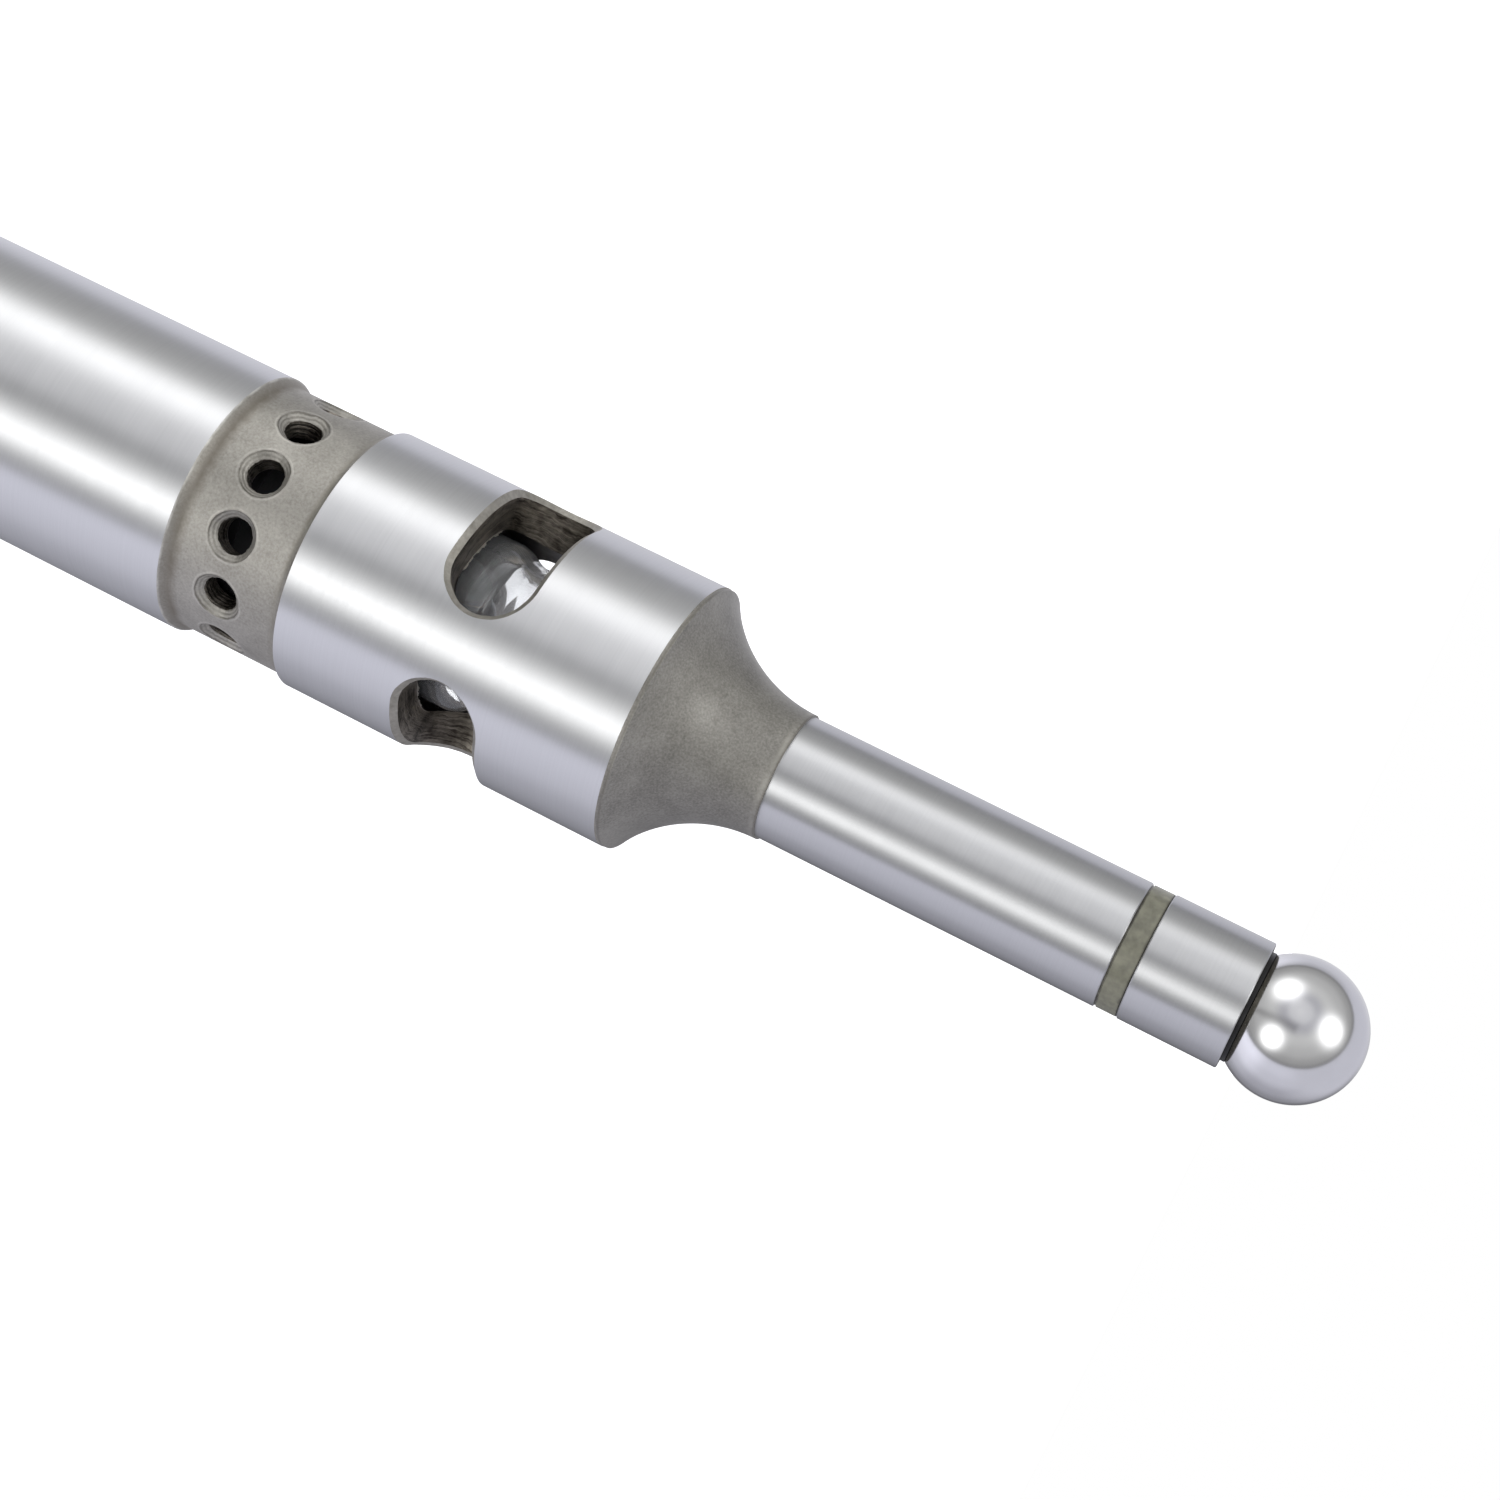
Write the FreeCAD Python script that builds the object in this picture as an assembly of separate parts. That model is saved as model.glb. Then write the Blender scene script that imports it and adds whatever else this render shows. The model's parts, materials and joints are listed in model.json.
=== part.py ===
"""Electronic edge finder, 20 mm shank, 10 mm ball: lights and beeps when the ball touches the work.

The tool is modelled standing on the rear end of its shank. The Z axis is the spindle axis, the origin is
the centre of the rear end face, and the ball is at the top. All sizes are in millimetres.
"""

import FreeCAD, Part
import math
import os

from FreeCAD import Vector

# Ground outside: lengths follow each other from the rear end up to the ball.
shank_diameter = 20.0
shank_length = 71.8
rear_chamfer = 0.8
body_length = 25.9
nose_diameter = 9.2
nose_length = 25.7
edge_break = 0.12
grinding_step = 0.05          # turned surfaces that the grinding wheel leaves alone lie this much lower

# Relief groove with its ring of sound holes.
groove_depth = 0.5
groove_length = 9.7
groove_rear_fillet = 1.5
groove_front_fillet = 0.8
hole_count = 12
hole_diameter = 2.65
hole_countersink = 3.65
hole_setback = 4.6            # from the end of the shank to the hole centres

# Windows, each milled by swinging the tool under a slot cutter.
window_count = 3
window_width = 6.0
window_swing = 51.0           # degrees that the work turns while the cutter is in
window_chamfer = 0.42
first_window = -90.0          # azimuth of one window's centre

# Bell-shaped flare between body and nose.
flare_length = 9.5
flare_land = 0.35
flare_end_diameter = 9.5

# Bores of the housing.
cap_seat_diameter = 17.0
cap_seat_depth = 2.0
thread_diameter = 16.0
thread_length = 6.6
bore_diameter = 15.0
front_bore_diameter = 14.2
front_bore_end = 3.5          # from the end of the front bore to the end of the body
bush_seat_diameter = 9.2
bush_seat_depth = 1.5
nose_bore_diameter = 7.2

# Insulated tip.
collar_width = 1.7
collar_bore = 5.8
collar_rear_spigot = 6.0
collar_front_spigot = 2.6
tip_length = 7.3
seat_diameter = 8.0
seat_bore = 6.4
seat_depth = 2.0

# Ball, stud and the spring that holds the ball in its seat.
ball_diameter = 10.0
ball_stand_off = 3.4          # from the end of the tip sleeve to the ball's centre
ball_travel = 4.0             # how far the ball can be drawn out of its seat
ball_tip = 20.0               # degrees that the ball can tip over the rim of its seat
stud_diameter = 2.2
stud_reach = 8.0              # from the ball's centre to the stud's inner end
stud_engagement = 4.0
spring_wire = 0.4
spring_turns = 16
spring_grip = 2.6             # length of stud or pin that the spring's end turns clasp

# Anchor of the spring, a brass pin that swivels in an insulating bush.
bush_flange_diameter = 9.0
bush_length = 5.0
pin_head_diameter = 4.4
pin_head_length = 1.0

# End cap with its seal and contact spring.
cap_recess = 0.3              # the cap lies this far inside the rear end
cap_length = 7.5
coin_slot_width = 2.0
coin_slot_depth = 1.1
seal_section = 1.0
seal_setback = 0.35           # from the cap's head to the seal's groove
spring_pocket_diameter = 9.2
spring_pocket_depth = 3.6
battery_spring_diameter = 8.4
battery_spring_wire = 0.8
battery_spring_turns = 3

# Battery and what holds it.
battery_gap = 2.0             # from the cap to the battery
battery_diameter = 10.3
battery_can = 27.3
battery_button = 1.2
battery_button_diameter = 4.0
sleeve_clearance = 0.3
sleeve_wall_end = 1.2
sleeve_start_gap = 0.3
contact_head = 1.0
contact_head_diameter = 3.6
contact_tail_diameter = 1.6

# Electronics.
carrier_wall = 1.0
board_thickness = 1.0
board_overlap = 0.5           # how far the board lies on the carrier's rims
part_height = 2.4
buzzer_diameter = 12.0
buzzer_length = 8.0
buzzer_port = 2.2
buzzer_gap = 0.5              # from the board to the buzzer
buzzer_pin = 0.7
buzzer_pin_span = 6.5
buzzer_pin_length = 2.6
buzzer_ring_length = 3.0
wire_diameter = 0.7
lamp_board_thickness = 1.2
lamp_count = 3
lamp_diameter = 3.0
lamp_length = 4.4
lamp_circle = 6.4             # diameter of the circle that the lamps stand on
circlip_section = 0.8
circlip_groove_depth = 0.35
circlip_opening = 60.0        # degrees
contact_rod_diameter = 1.0

# Light lens behind the windows.
lens_flange = 1.5
lens_setback = 1.35           # from the flange's front face to the edge of the windows
lens_base_diameter = 12.9
lens_front_diameter = 11.3
lens_wall = 1.2
lens_base_length = 2.7
lens_shoulder_length = 2.6
lens_barrel_length = 2.5

# Fits, each a clearance on the radius.
press_gap = 0.01
running_gap = 0.05
slip_gap = 0.1
overcut = 1.0                 # how far cutters reach past what they cut

# Places along the axis.
groove_start = shank_length
body_start = groove_start + groove_length
body_end = body_start + body_length
nose_start = body_end + flare_length
nose_end = nose_start + nose_length
tip_start = nose_end + collar_width
tip_end = tip_start + tip_length
ball_centre = tip_end + ball_stand_off
hole_height = groove_start + hole_setback
window_height = body_start + body_length / 2
cap_shoulder = cap_seat_depth
cap_front = cap_recess + cap_length
thread_end = cap_seat_depth + thread_length
battery_rear = cap_front + battery_gap
battery_shoulder = battery_rear + battery_can
battery_front = battery_shoulder + battery_button
sleeve_front = battery_front + contact_head + sleeve_wall_end
carrier_rear = sleeve_front
board_rear = carrier_rear + carrier_wall
buzzer_front = hole_height - hole_diameter / 2
buzzer_rear = buzzer_front - buzzer_length
board_front = buzzer_rear - buzzer_gap
lens_seat = window_height - window_width / 2 - window_chamfer - lens_setback
lens_rear = lens_seat - lens_flange
lamp_board_rear = lens_rear - lamp_board_thickness
front_bore_top = body_end - front_bore_end
bush_seat_start = front_bore_top + (front_bore_diameter - bush_seat_diameter) / 2
bush_seat_end = bush_seat_start + bush_seat_depth
bush_front = bush_seat_end + bush_length
stud_end = ball_centre - stud_reach

# Radii.
shank_radius = shank_diameter / 2
groove_radius = shank_radius - groove_depth
nose_radius = nose_diameter / 2
bore_radius = bore_diameter / 2
ball_radius = ball_diameter / 2
stud_radius = stud_diameter / 2
rim_radius = seat_diameter / 2
board_top = board_thickness
wire_height = board_top + wire_diameter / 2
board_half_width = bore_radius - slip_gap - carrier_wall + board_overlap

up = Vector(0, 0, 1)
origin = Vector(0, 0, 0)


def section_point(radius, height):
    """Point of a half section, in the XZ plane."""
    return Vector(radius, 0, height)


def outline_face(stations):
    """Closed face in the XZ plane.

    A station is a point (radius, height), or a pair of points: an arc through the first to the second.
    """
    edges = []
    here = section_point(*stations[0])
    for station in list(stations[1:]) + [stations[0]]:
        if isinstance(station[0], tuple):
            through = section_point(*station[0])
            there = section_point(*station[1])
            edges.append(Part.Arc(here, through, there).toShape())
        else:
            there = section_point(*station)
            edges.append(Part.LineSegment(here, there).toShape())
        here = there
    return Part.Face(Part.Wire(edges))


def turned(stations):
    """Solid of revolution about the tool's axis."""
    return outline_face(stations).revolve(origin, up, 360)


def ring(outer, inner, bottom, top):
    """Plain turned ring between two radii and two heights."""
    return turned([(inner, bottom), (outer, bottom), (outer, top), (inner, top)])


def rod(radius, bottom, top, x=0.0, y=0.0):
    """Upright round bar."""
    return Part.makeCylinder(radius, top - bottom, Vector(x, y, bottom))


def block(x_range, y_range, z_range):
    """Box between two values on each axis."""
    size = [pair[1] - pair[0] for pair in (x_range, y_range, z_range)]
    return Part.makeBox(*size, Vector(x_range[0], y_range[0], z_range[0]))


def arc_through(start, end, radius, inward):
    """Middle of the arc of a given radius from start to end, bulging to the axis or away from it."""
    middle = ((start[0] + end[0]) / 2, (start[1] + end[1]) / 2)
    chord = (end[0] - start[0], end[1] - start[1])
    length = math.hypot(*chord)
    normal = (chord[1] / length, -chord[0] / length)
    if (normal[0] < 0) != inward:
        normal = (-normal[0], -normal[1])
    sagitta = radius - math.sqrt(radius ** 2 - length ** 2 / 4)
    return (middle[0] + normal[0] * sagitta, middle[1] + normal[1] * sagitta)


def turned_about_axis(shape, azimuth):
    """Copy of a shape, turned about the tool's axis."""
    copy = shape.copy()
    copy.rotate(origin, up, azimuth)
    return copy


def cutter_outline(half_width, chamfer, surface_radius):
    """Half section of a cutter with a 45 degree shoulder that breaks the mouth's edge."""
    inside = bore_radius / 2
    reach = chamfer + overcut
    return [(inside, 0), (inside, half_width), (surface_radius - chamfer, half_width),
            (surface_radius + overcut, half_width + reach), (surface_radius + overcut, 0)]


def radial_cutter(outline, height):
    """Cutter whose own axis is the X axis at a given height."""
    face = outline_face([(along, height + across) for along, across in outline])
    return face.revolve(Vector(0, 0, height), Vector(1, 0, 0), 360)


def swung_cutter(outline, height, swing):
    """Path of a radial cutter while the work turns: round ends joined by a stretch of ring."""
    upper = [(along, height + across) for along, across in outline[1:-1]]
    lower = [(along, height - across) for along, across in reversed(outline[1:-1])]
    stretch = outline_face(upper + lower).revolve(origin, up, swing)
    stretch = turned_about_axis(stretch, -swing / 2)
    ends = [turned_about_axis(radial_cutter(outline, height), side * swing / 2) for side in (-1, 1)]
    return stretch.fuse(ends)


def coil(radius, wire, pitch, turns, bottom):
    """Round-wire helix that starts on the X axis."""
    path = Part.makeHelix(pitch, pitch * turns, radius)
    path.translate(Vector(0, 0, bottom))
    start = Part.Circle(Vector(radius, 0, bottom), Vector(0, 1, 0), wire / 2).toShape()
    return Part.Wire(path).makePipeShell([Part.Wire(start)], True, True)


def make_housing():
    """Shank, windowed body, flare and nose, turned and ground from one bar."""
    rear_run = math.sqrt(groove_depth * (2 * groove_rear_fillet - groove_depth))
    front_run = math.sqrt(groove_depth * (2 * groove_front_fillet - groove_depth))
    rear_edge = (shank_radius, groove_start)
    rear_floor = (groove_radius, groove_start + rear_run)
    front_floor = (groove_radius, body_start - front_run)
    front_edge = (shank_radius, body_start)
    flare_top = (shank_radius - grinding_step, body_end + flare_land)
    flare_foot = (flare_end_diameter / 2, nose_start)
    rise = flare_top[0] - flare_foot[0]
    run = flare_foot[1] - flare_top[1]
    flare_radius = (rise ** 2 + run ** 2) / (2 * rise)      # tangent to the nose at its foot
    circlip_top = lamp_board_rear
    circlip_bottom = circlip_top - circlip_section - slip_gap
    groove_bottom_radius = bore_radius + circlip_groove_depth
    shape = turned([
        (cap_seat_diameter / 2, 0),
        (shank_radius - rear_chamfer, 0),
        (shank_radius, rear_chamfer),
        rear_edge,
        (arc_through(rear_edge, rear_floor, groove_rear_fillet, True), rear_floor),
        front_floor,
        (arc_through(front_floor, front_edge, groove_front_fillet, True), front_edge),
        (shank_radius, body_end),
        (shank_radius - grinding_step, body_end),
        flare_top,
        (arc_through(flare_top, flare_foot, flare_radius, True), flare_foot),
        (nose_radius, nose_start),
        (nose_radius, nose_end - edge_break),
        (nose_radius - edge_break, nose_end),
        (nose_bore_diameter / 2, nose_end),
        (nose_bore_diameter / 2, bush_seat_end),
        (bush_seat_diameter / 2, bush_seat_end),
        (bush_seat_diameter / 2, bush_seat_start),
        (front_bore_diameter / 2, front_bore_top),
        (front_bore_diameter / 2, lens_seat),
        (bore_radius, lens_seat),
        (bore_radius, circlip_top),
        (groove_bottom_radius, circlip_top),
        (groove_bottom_radius, circlip_bottom),
        (bore_radius, circlip_bottom),
        (bore_radius, thread_end),
        (thread_diameter / 2, thread_end),
        (thread_diameter / 2, cap_shoulder),
        (cap_seat_diameter / 2, cap_shoulder)])
    hole_chamfer = (hole_countersink - hole_diameter) / 2
    drill = radial_cutter(cutter_outline(hole_diameter / 2, hole_chamfer, groove_radius), hole_height)
    for number in range(hole_count):
        shape = shape.cut(turned_about_axis(drill, first_window + number * 360 / hole_count))
    mill = swung_cutter(cutter_outline(window_width / 2, window_chamfer, shank_radius),
                        window_height, window_swing)
    for number in range(window_count):
        shape = shape.cut(turned_about_axis(mill, first_window + number * 360 / window_count))
    return shape


def make_insulating_collar():
    """Glass-epoxy bush that joins nose and tip sleeve and keeps them apart."""
    spigot = nose_bore_diameter / 2 - press_gap
    bore = collar_bore / 2
    return turned([
        (bore, nose_end - collar_rear_spigot),
        (spigot, nose_end - collar_rear_spigot),
        (spigot, nose_end),
        (nose_radius, nose_end),
        (nose_radius, tip_start),
        (spigot, tip_start),
        (spigot, tip_start + collar_front_spigot),
        (bore, tip_start + collar_front_spigot)])


def make_tip_sleeve():
    """Ground sleeve of the tip, counterbored for the ball's seat."""
    bore = nose_bore_diameter / 2
    counterbore = seat_diameter / 2 + press_gap
    return turned([
        (bore, tip_start),
        (nose_radius - edge_break, tip_start),
        (nose_radius, tip_start + edge_break),
        (nose_radius, tip_end - edge_break),
        (nose_radius - edge_break, tip_end),
        (counterbore, tip_end),
        (counterbore, tip_end - seat_depth),
        (bore, tip_end - seat_depth)])


def seat_height(radius):
    """Height of the lapped seat at a radius: a sphere one running gap larger than the ball."""
    return ball_centre - math.sqrt((ball_radius + running_gap) ** 2 - radius ** 2)


def make_ball_seat():
    """Blackened ring with a lapped spherical seat for the ball."""
    bore = seat_bore / 2
    middle = (bore + rim_radius) / 2
    return turned([
        (bore, tip_end - seat_depth),
        (rim_radius, tip_end - seat_depth),
        (rim_radius, seat_height(rim_radius)),
        ((middle, seat_height(middle)), (bore, seat_height(bore)))])


def make_ball():
    """Contact ball with a blind hole for its stud."""
    ball = Part.makeSphere(ball_radius, Vector(0, 0, ball_centre))
    return ball.cut(rod(stud_radius, ball_centre - ball_radius - overcut,
                        ball_centre - ball_radius + stud_engagement))


def make_ball_stud():
    """Stud pressed into the ball; the spring's front turns clasp its inner end."""
    return rod(stud_radius, stud_end, ball_centre - ball_radius + stud_engagement)


def make_tension_spring():
    """Extension spring, screwed onto the anchor pin at one end and onto the ball's stud at the other."""
    radius = stud_radius + running_gap + spring_wire / 2
    bottom = bush_front + spring_wire
    length = stud_end + spring_grip - bottom
    return coil(radius, spring_wire, length / spring_turns, spring_turns, bottom)


def make_anchor_bush():
    """Insulating bush, held in the nose by its flange."""
    bore = stud_radius + running_gap
    body = nose_bore_diameter / 2 - press_gap
    flange = bush_flange_diameter / 2
    return turned([
        (bore, bush_seat_start),
        (flange, bush_seat_start),
        (flange, bush_seat_end),
        (body, bush_seat_end),
        (body, bush_front),
        (bore, bush_front)])


def make_anchor_pin():
    """Brass pin as thick as the stud; its head bears on the bush, its front end holds the spring."""
    head = rod(pin_head_diameter / 2, bush_seat_start - pin_head_length, bush_seat_start)
    return head.fuse(rod(stud_radius, bush_seat_start, bush_front + spring_wire + spring_grip))


def make_contact_rod():
    """Brass rod from the lamp board to the anchor pin's head."""
    top = bush_seat_start - pin_head_length - running_gap
    return rod(contact_rod_diameter / 2, lamp_board_rear, top)


def make_end_cap():
    """Plug that closes the battery bore, turned by a coin."""
    head = cap_seat_diameter / 2 - slip_gap
    plug = thread_diameter / 2 - running_gap
    neck = plug - seal_section
    groove_start_height = cap_shoulder + seal_setback
    groove_end_height = groove_start_height + seal_section + slip_gap
    pocket = spring_pocket_diameter / 2
    pocket_floor = cap_front - spring_pocket_depth
    shape = turned([
        (0, cap_recess),
        (head - edge_break, cap_recess),
        (head, cap_recess + edge_break),
        (head, cap_shoulder),
        (plug, cap_shoulder),
        (plug, groove_start_height),
        (neck, groove_start_height),
        (neck, groove_end_height),
        (plug, groove_end_height),
        (plug, cap_front),
        (pocket, cap_front),
        (pocket, pocket_floor),
        (0, pocket_floor)])
    half = coin_slot_width / 2
    slot = block((-shank_radius, shank_radius), (-half, half),
                 (cap_recess - overcut, cap_recess + coin_slot_depth))
    return shape.cut(slot)


def make_cap_seal():
    """O-ring in the end cap's groove."""
    centre = thread_diameter / 2 - running_gap - seal_section / 2
    height = cap_shoulder + seal_setback + (seal_section + slip_gap) / 2
    return Part.makeTorus(centre, seal_section / 2, Vector(0, 0, height))


def make_battery_spring():
    """Contact spring between the end cap and the battery, with both ends ground flat."""
    radius = (battery_spring_diameter - battery_spring_wire) / 2
    bottom = cap_front - spring_pocket_depth
    length = battery_rear - bottom
    wire = coil(radius, battery_spring_wire, length / battery_spring_turns, battery_spring_turns, bottom)
    return wire.common(rod(battery_spring_diameter, bottom, battery_rear))


def make_battery():
    """Sealed 12 V cell with its contact button."""
    can = rod(battery_diameter / 2, battery_rear, battery_shoulder)
    return can.fuse(rod(battery_button_diameter / 2, battery_shoulder, battery_front))


def make_battery_sleeve():
    """Insulating sleeve that centres the battery, closed towards the electronics."""
    outer = bore_radius - slip_gap
    inner = battery_diameter / 2 + sleeve_clearance
    tail = contact_tail_diameter / 2 + press_gap
    bottom = thread_end + sleeve_start_gap
    wall = sleeve_front - sleeve_wall_end
    return turned([
        (inner, bottom), (outer, bottom), (outer, sleeve_front),
        (tail, sleeve_front), (tail, wall), (inner, wall)])


def make_battery_contact():
    """Brass rivet that carries the battery's current to the circuit board."""
    wall = sleeve_front - sleeve_wall_end
    head = rod(contact_head_diameter / 2, battery_front, wall)
    return head.fuse(rod(contact_tail_diameter / 2, wall, board_rear))


def make_board_carrier():
    """Trough that carries the circuit board, with a round end plate."""
    outer = bore_radius - slip_gap
    shell = ring(outer, outer - carrier_wall, carrier_rear, board_front)
    trough = shell.cut(block((-outer, outer), (0, outer), (carrier_rear, board_front)))
    plate = ring(outer, contact_tail_diameter / 2 + press_gap, carrier_rear, board_rear)
    return trough.fuse(plate).removeSplitter()


def make_circuit_board():
    """Board lying on the rims of its carrier."""
    return block((-board_half_width, board_half_width), (0, board_top), (board_rear, board_front))


def board_station(share):
    """Height on the circuit board, as a share of its length from the rear."""
    return board_rear + share * (board_front - board_rear)


def make_driver_chip():
    """Amplifier chip in the middle of the board."""
    half = 2.0
    length = (board_front - board_rear) * 0.2
    middle = board_station(0.45)
    return block((-half, half), (board_top, board_top + part_height * 0.7),
                 (middle - length / 2, middle + length / 2))


def make_resistors():
    """Two resistors side by side behind the buzzer."""
    radius = part_height / 3
    length = (board_front - board_rear) * 0.2
    bottom = board_station(0.62)
    bars = [rod(radius, bottom, bottom + length, side * 2.6, board_top + radius) for side in (-1, 1)]
    return Part.makeCompound(bars)


def make_capacitor():
    """Upright capacitor near the battery's contact."""
    base = Vector(0, board_top, board_station(0.18))
    return Part.makeCylinder(part_height / 2, part_height * 1.6, base, Vector(0, 1, 0))


def make_buzzer():
    """Sealed sounder can with its sound port towards the groove's holes."""
    can = rod(buzzer_diameter / 2, buzzer_rear, buzzer_front)
    port = rod(buzzer_port / 2, buzzer_front - overcut, buzzer_front + overcut)
    return can.cut(port)


def make_buzzer_pins():
    """Two pins from the buzzer onto the board."""
    height = board_top + buzzer_pin / 2
    pins = [rod(buzzer_pin / 2, buzzer_rear - buzzer_pin_length, buzzer_rear, side * buzzer_pin_span / 2,
                height) for side in (-1, 1)]
    return Part.makeCompound(pins)


def link_wire_places():
    """Where the two link wires lie: on the board's face, near its long edges."""
    reach = bore_radius - circlip_section - wire_diameter / 2
    across = math.sqrt(reach ** 2 - wire_height ** 2)
    return [(side * across, wire_height) for side in (-1, 1)]


def make_buzzer_ring():
    """Collar that centres the buzzer, with a passage for each link wire."""
    middle = (buzzer_rear + buzzer_front) / 2
    bottom = middle - buzzer_ring_length / 2
    top = middle + buzzer_ring_length / 2
    shape = ring(bore_radius - slip_gap, buzzer_diameter / 2 + press_gap, bottom, top)
    for x, y in link_wire_places():
        shape = shape.cut(rod(wire_diameter / 2 + running_gap, bottom - overcut, top + overcut, x, y))
    return shape


def make_link_wires():
    """Two straight wires from the circuit board to the lamp board."""
    bottom = board_front - buzzer_pin_length
    return Part.makeCompound([rod(wire_diameter / 2, bottom, lamp_board_rear, x, y)
                              for x, y in link_wire_places()])


def make_circlip():
    """Open ring in the bore that holds lamp board and lens against their shoulder."""
    outer = bore_radius + circlip_groove_depth - running_gap
    inner = bore_radius - circlip_section + circlip_groove_depth
    face = outline_face([
        (inner, lamp_board_rear - circlip_section), (outer, lamp_board_rear - circlip_section),
        (outer, lamp_board_rear), (inner, lamp_board_rear)])
    clip = face.revolve(origin, up, 360 - circlip_opening)
    return turned_about_axis(clip, first_window + circlip_opening / 2)


def make_lamp_board():
    """Round board that carries the lamps."""
    return ring(bore_radius - slip_gap, contact_rod_diameter / 2 + press_gap, lamp_board_rear, lens_rear)


def make_lamps():
    """Round-nosed lamps standing on the lamp board, one towards each window."""
    radius = lamp_diameter / 2
    lamps = []
    for number in range(lamp_count):
        barrel = rod(radius, lens_rear, lens_rear + lamp_length - radius)
        dome = Part.makeSphere(radius, Vector(0, 0, lens_rear + lamp_length - radius))
        lamp = barrel.fuse(dome).removeSplitter()
        lamp.translate(Vector(lamp_circle / 2, 0, 0))
        lamps.append(turned_about_axis(lamp, first_window + number * 360 / lamp_count))
    return Part.makeCompound(lamps)


def make_light_lens():
    """Clear moulded dome over the lamps, with a shoulder, a barrel and a round end."""
    flange = bore_radius - slip_gap
    base = lens_base_diameter / 2
    front = lens_front_diameter / 2
    shoulder = lens_seat + lens_base_length
    barrel = shoulder + lens_shoulder_length
    dome = barrel + lens_barrel_length
    passage = contact_rod_diameter / 2 + slip_gap
    slope = math.atan2(base - front, lens_shoulder_length)
    bend = lens_shoulder_length / 2 / math.sin(2 * slope)

    def ogee(wall):
        """Two equal arcs from the base to the barrel, tangent to both, one wall inside the surface."""
        start = (base - wall, shoulder)
        middle = ((base + front) / 2 - wall, (shoulder + barrel) / 2)
        end = (front - wall, barrel)
        first = arc_through(start, middle, bend, False)
        second = arc_through(middle, end, bend, True)
        return start, first, middle, second, end

    start, first, middle, second, end = ogee(0)
    inner_start, inner_first, inner_middle, inner_second, inner_end = ogee(lens_wall)
    outer_pole = (passage, dome + math.sqrt(front ** 2 - passage ** 2))
    inner_front = front - lens_wall
    inner_pole = (passage, dome + math.sqrt(inner_front ** 2 - passage ** 2))
    diagonal = math.sqrt(0.5)
    return turned([
        (base - lens_wall, lens_rear),
        (flange, lens_rear),
        (flange, lens_seat),
        (base, lens_seat),
        start,
        (first, middle),
        (second, end),
        (front, dome),
        ((front * diagonal, dome + front * diagonal), outer_pole),
        inner_pole,
        ((inner_front * diagonal, dome + inner_front * diagonal), (inner_front, dome)),
        inner_end,
        (inner_second, inner_middle),
        (inner_first, inner_start)])


makers = {
    "housing": make_housing,
    "insulating_collar": make_insulating_collar,
    "tip_sleeve": make_tip_sleeve,
    "ball_seat": make_ball_seat,
    "ball": make_ball,
    "ball_stud": make_ball_stud,
    "tension_spring": make_tension_spring,
    "anchor_bush": make_anchor_bush,
    "anchor_pin": make_anchor_pin,
    "contact_rod": make_contact_rod,
    "light_lens": make_light_lens,
    "lamps": make_lamps,
    "lamp_board": make_lamp_board,
    "circlip": make_circlip,
    "buzzer": make_buzzer,
    "buzzer_pins": make_buzzer_pins,
    "buzzer_ring": make_buzzer_ring,
    "link_wires": make_link_wires,
    "circuit_board": make_circuit_board,
    "driver_chip": make_driver_chip,
    "resistors": make_resistors,
    "capacitor": make_capacitor,
    "board_carrier": make_board_carrier,
    "battery_contact": make_battery_contact,
    "battery_sleeve": make_battery_sleeve,
    "battery": make_battery,
    "battery_spring": make_battery_spring,
    "end_cap": make_end_cap,
    "cap_seal": make_cap_seal,
}

os.makedirs("parts", exist_ok=True)
for name, make in makers.items():
    make().exportStep("parts/" + name + ".step")
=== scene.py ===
import json
import math

import bpy
import numpy as np
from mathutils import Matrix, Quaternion, Vector


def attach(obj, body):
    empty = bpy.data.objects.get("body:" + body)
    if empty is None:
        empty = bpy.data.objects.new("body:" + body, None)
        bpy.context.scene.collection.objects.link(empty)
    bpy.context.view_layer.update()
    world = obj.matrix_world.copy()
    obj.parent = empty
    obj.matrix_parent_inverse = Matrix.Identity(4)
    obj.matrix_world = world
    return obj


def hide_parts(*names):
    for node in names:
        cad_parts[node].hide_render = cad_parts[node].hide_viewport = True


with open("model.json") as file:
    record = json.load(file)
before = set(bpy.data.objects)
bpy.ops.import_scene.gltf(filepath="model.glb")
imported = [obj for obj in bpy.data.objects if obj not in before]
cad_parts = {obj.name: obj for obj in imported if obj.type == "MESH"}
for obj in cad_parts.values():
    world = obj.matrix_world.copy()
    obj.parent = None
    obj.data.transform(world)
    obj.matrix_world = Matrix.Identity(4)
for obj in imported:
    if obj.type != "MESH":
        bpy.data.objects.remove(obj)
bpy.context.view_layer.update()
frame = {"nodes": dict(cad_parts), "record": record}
nodes = frame["nodes"]
mm = 0.001
print("frame loaded:", len(nodes), "nodes")


ringSteps = 360          # one step a degree, so that every ring of the housing shares its points


def around(radius, height, azimuth):
    # point at an azimuth in degrees: x = r cos a, y = r sin a, z = height, all in mm on the way in
    a = np.radians(azimuth)
    radius, height, a = np.broadcast_arrays(radius, height, a)
    return np.stack([radius * np.cos(a), radius * np.sin(a), height], -1) * mm


def line(r0, z0, r1, z1):
    # straight stretch of a half section; its normal is the run turned a quarter: (dz, -dr)
    d = np.array([z1 - z0, r0 - r1])
    n = d / np.hypot(*d)
    return np.array([r0, r1]), np.array([z0, z1]), np.full(2, n[0]), np.full(2, n[1])


def path(*corners):
    # straight stretches from corner (r, z) to corner
    return [line(*a, *b) for a, b in zip(corners, corners[1:])]


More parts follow.
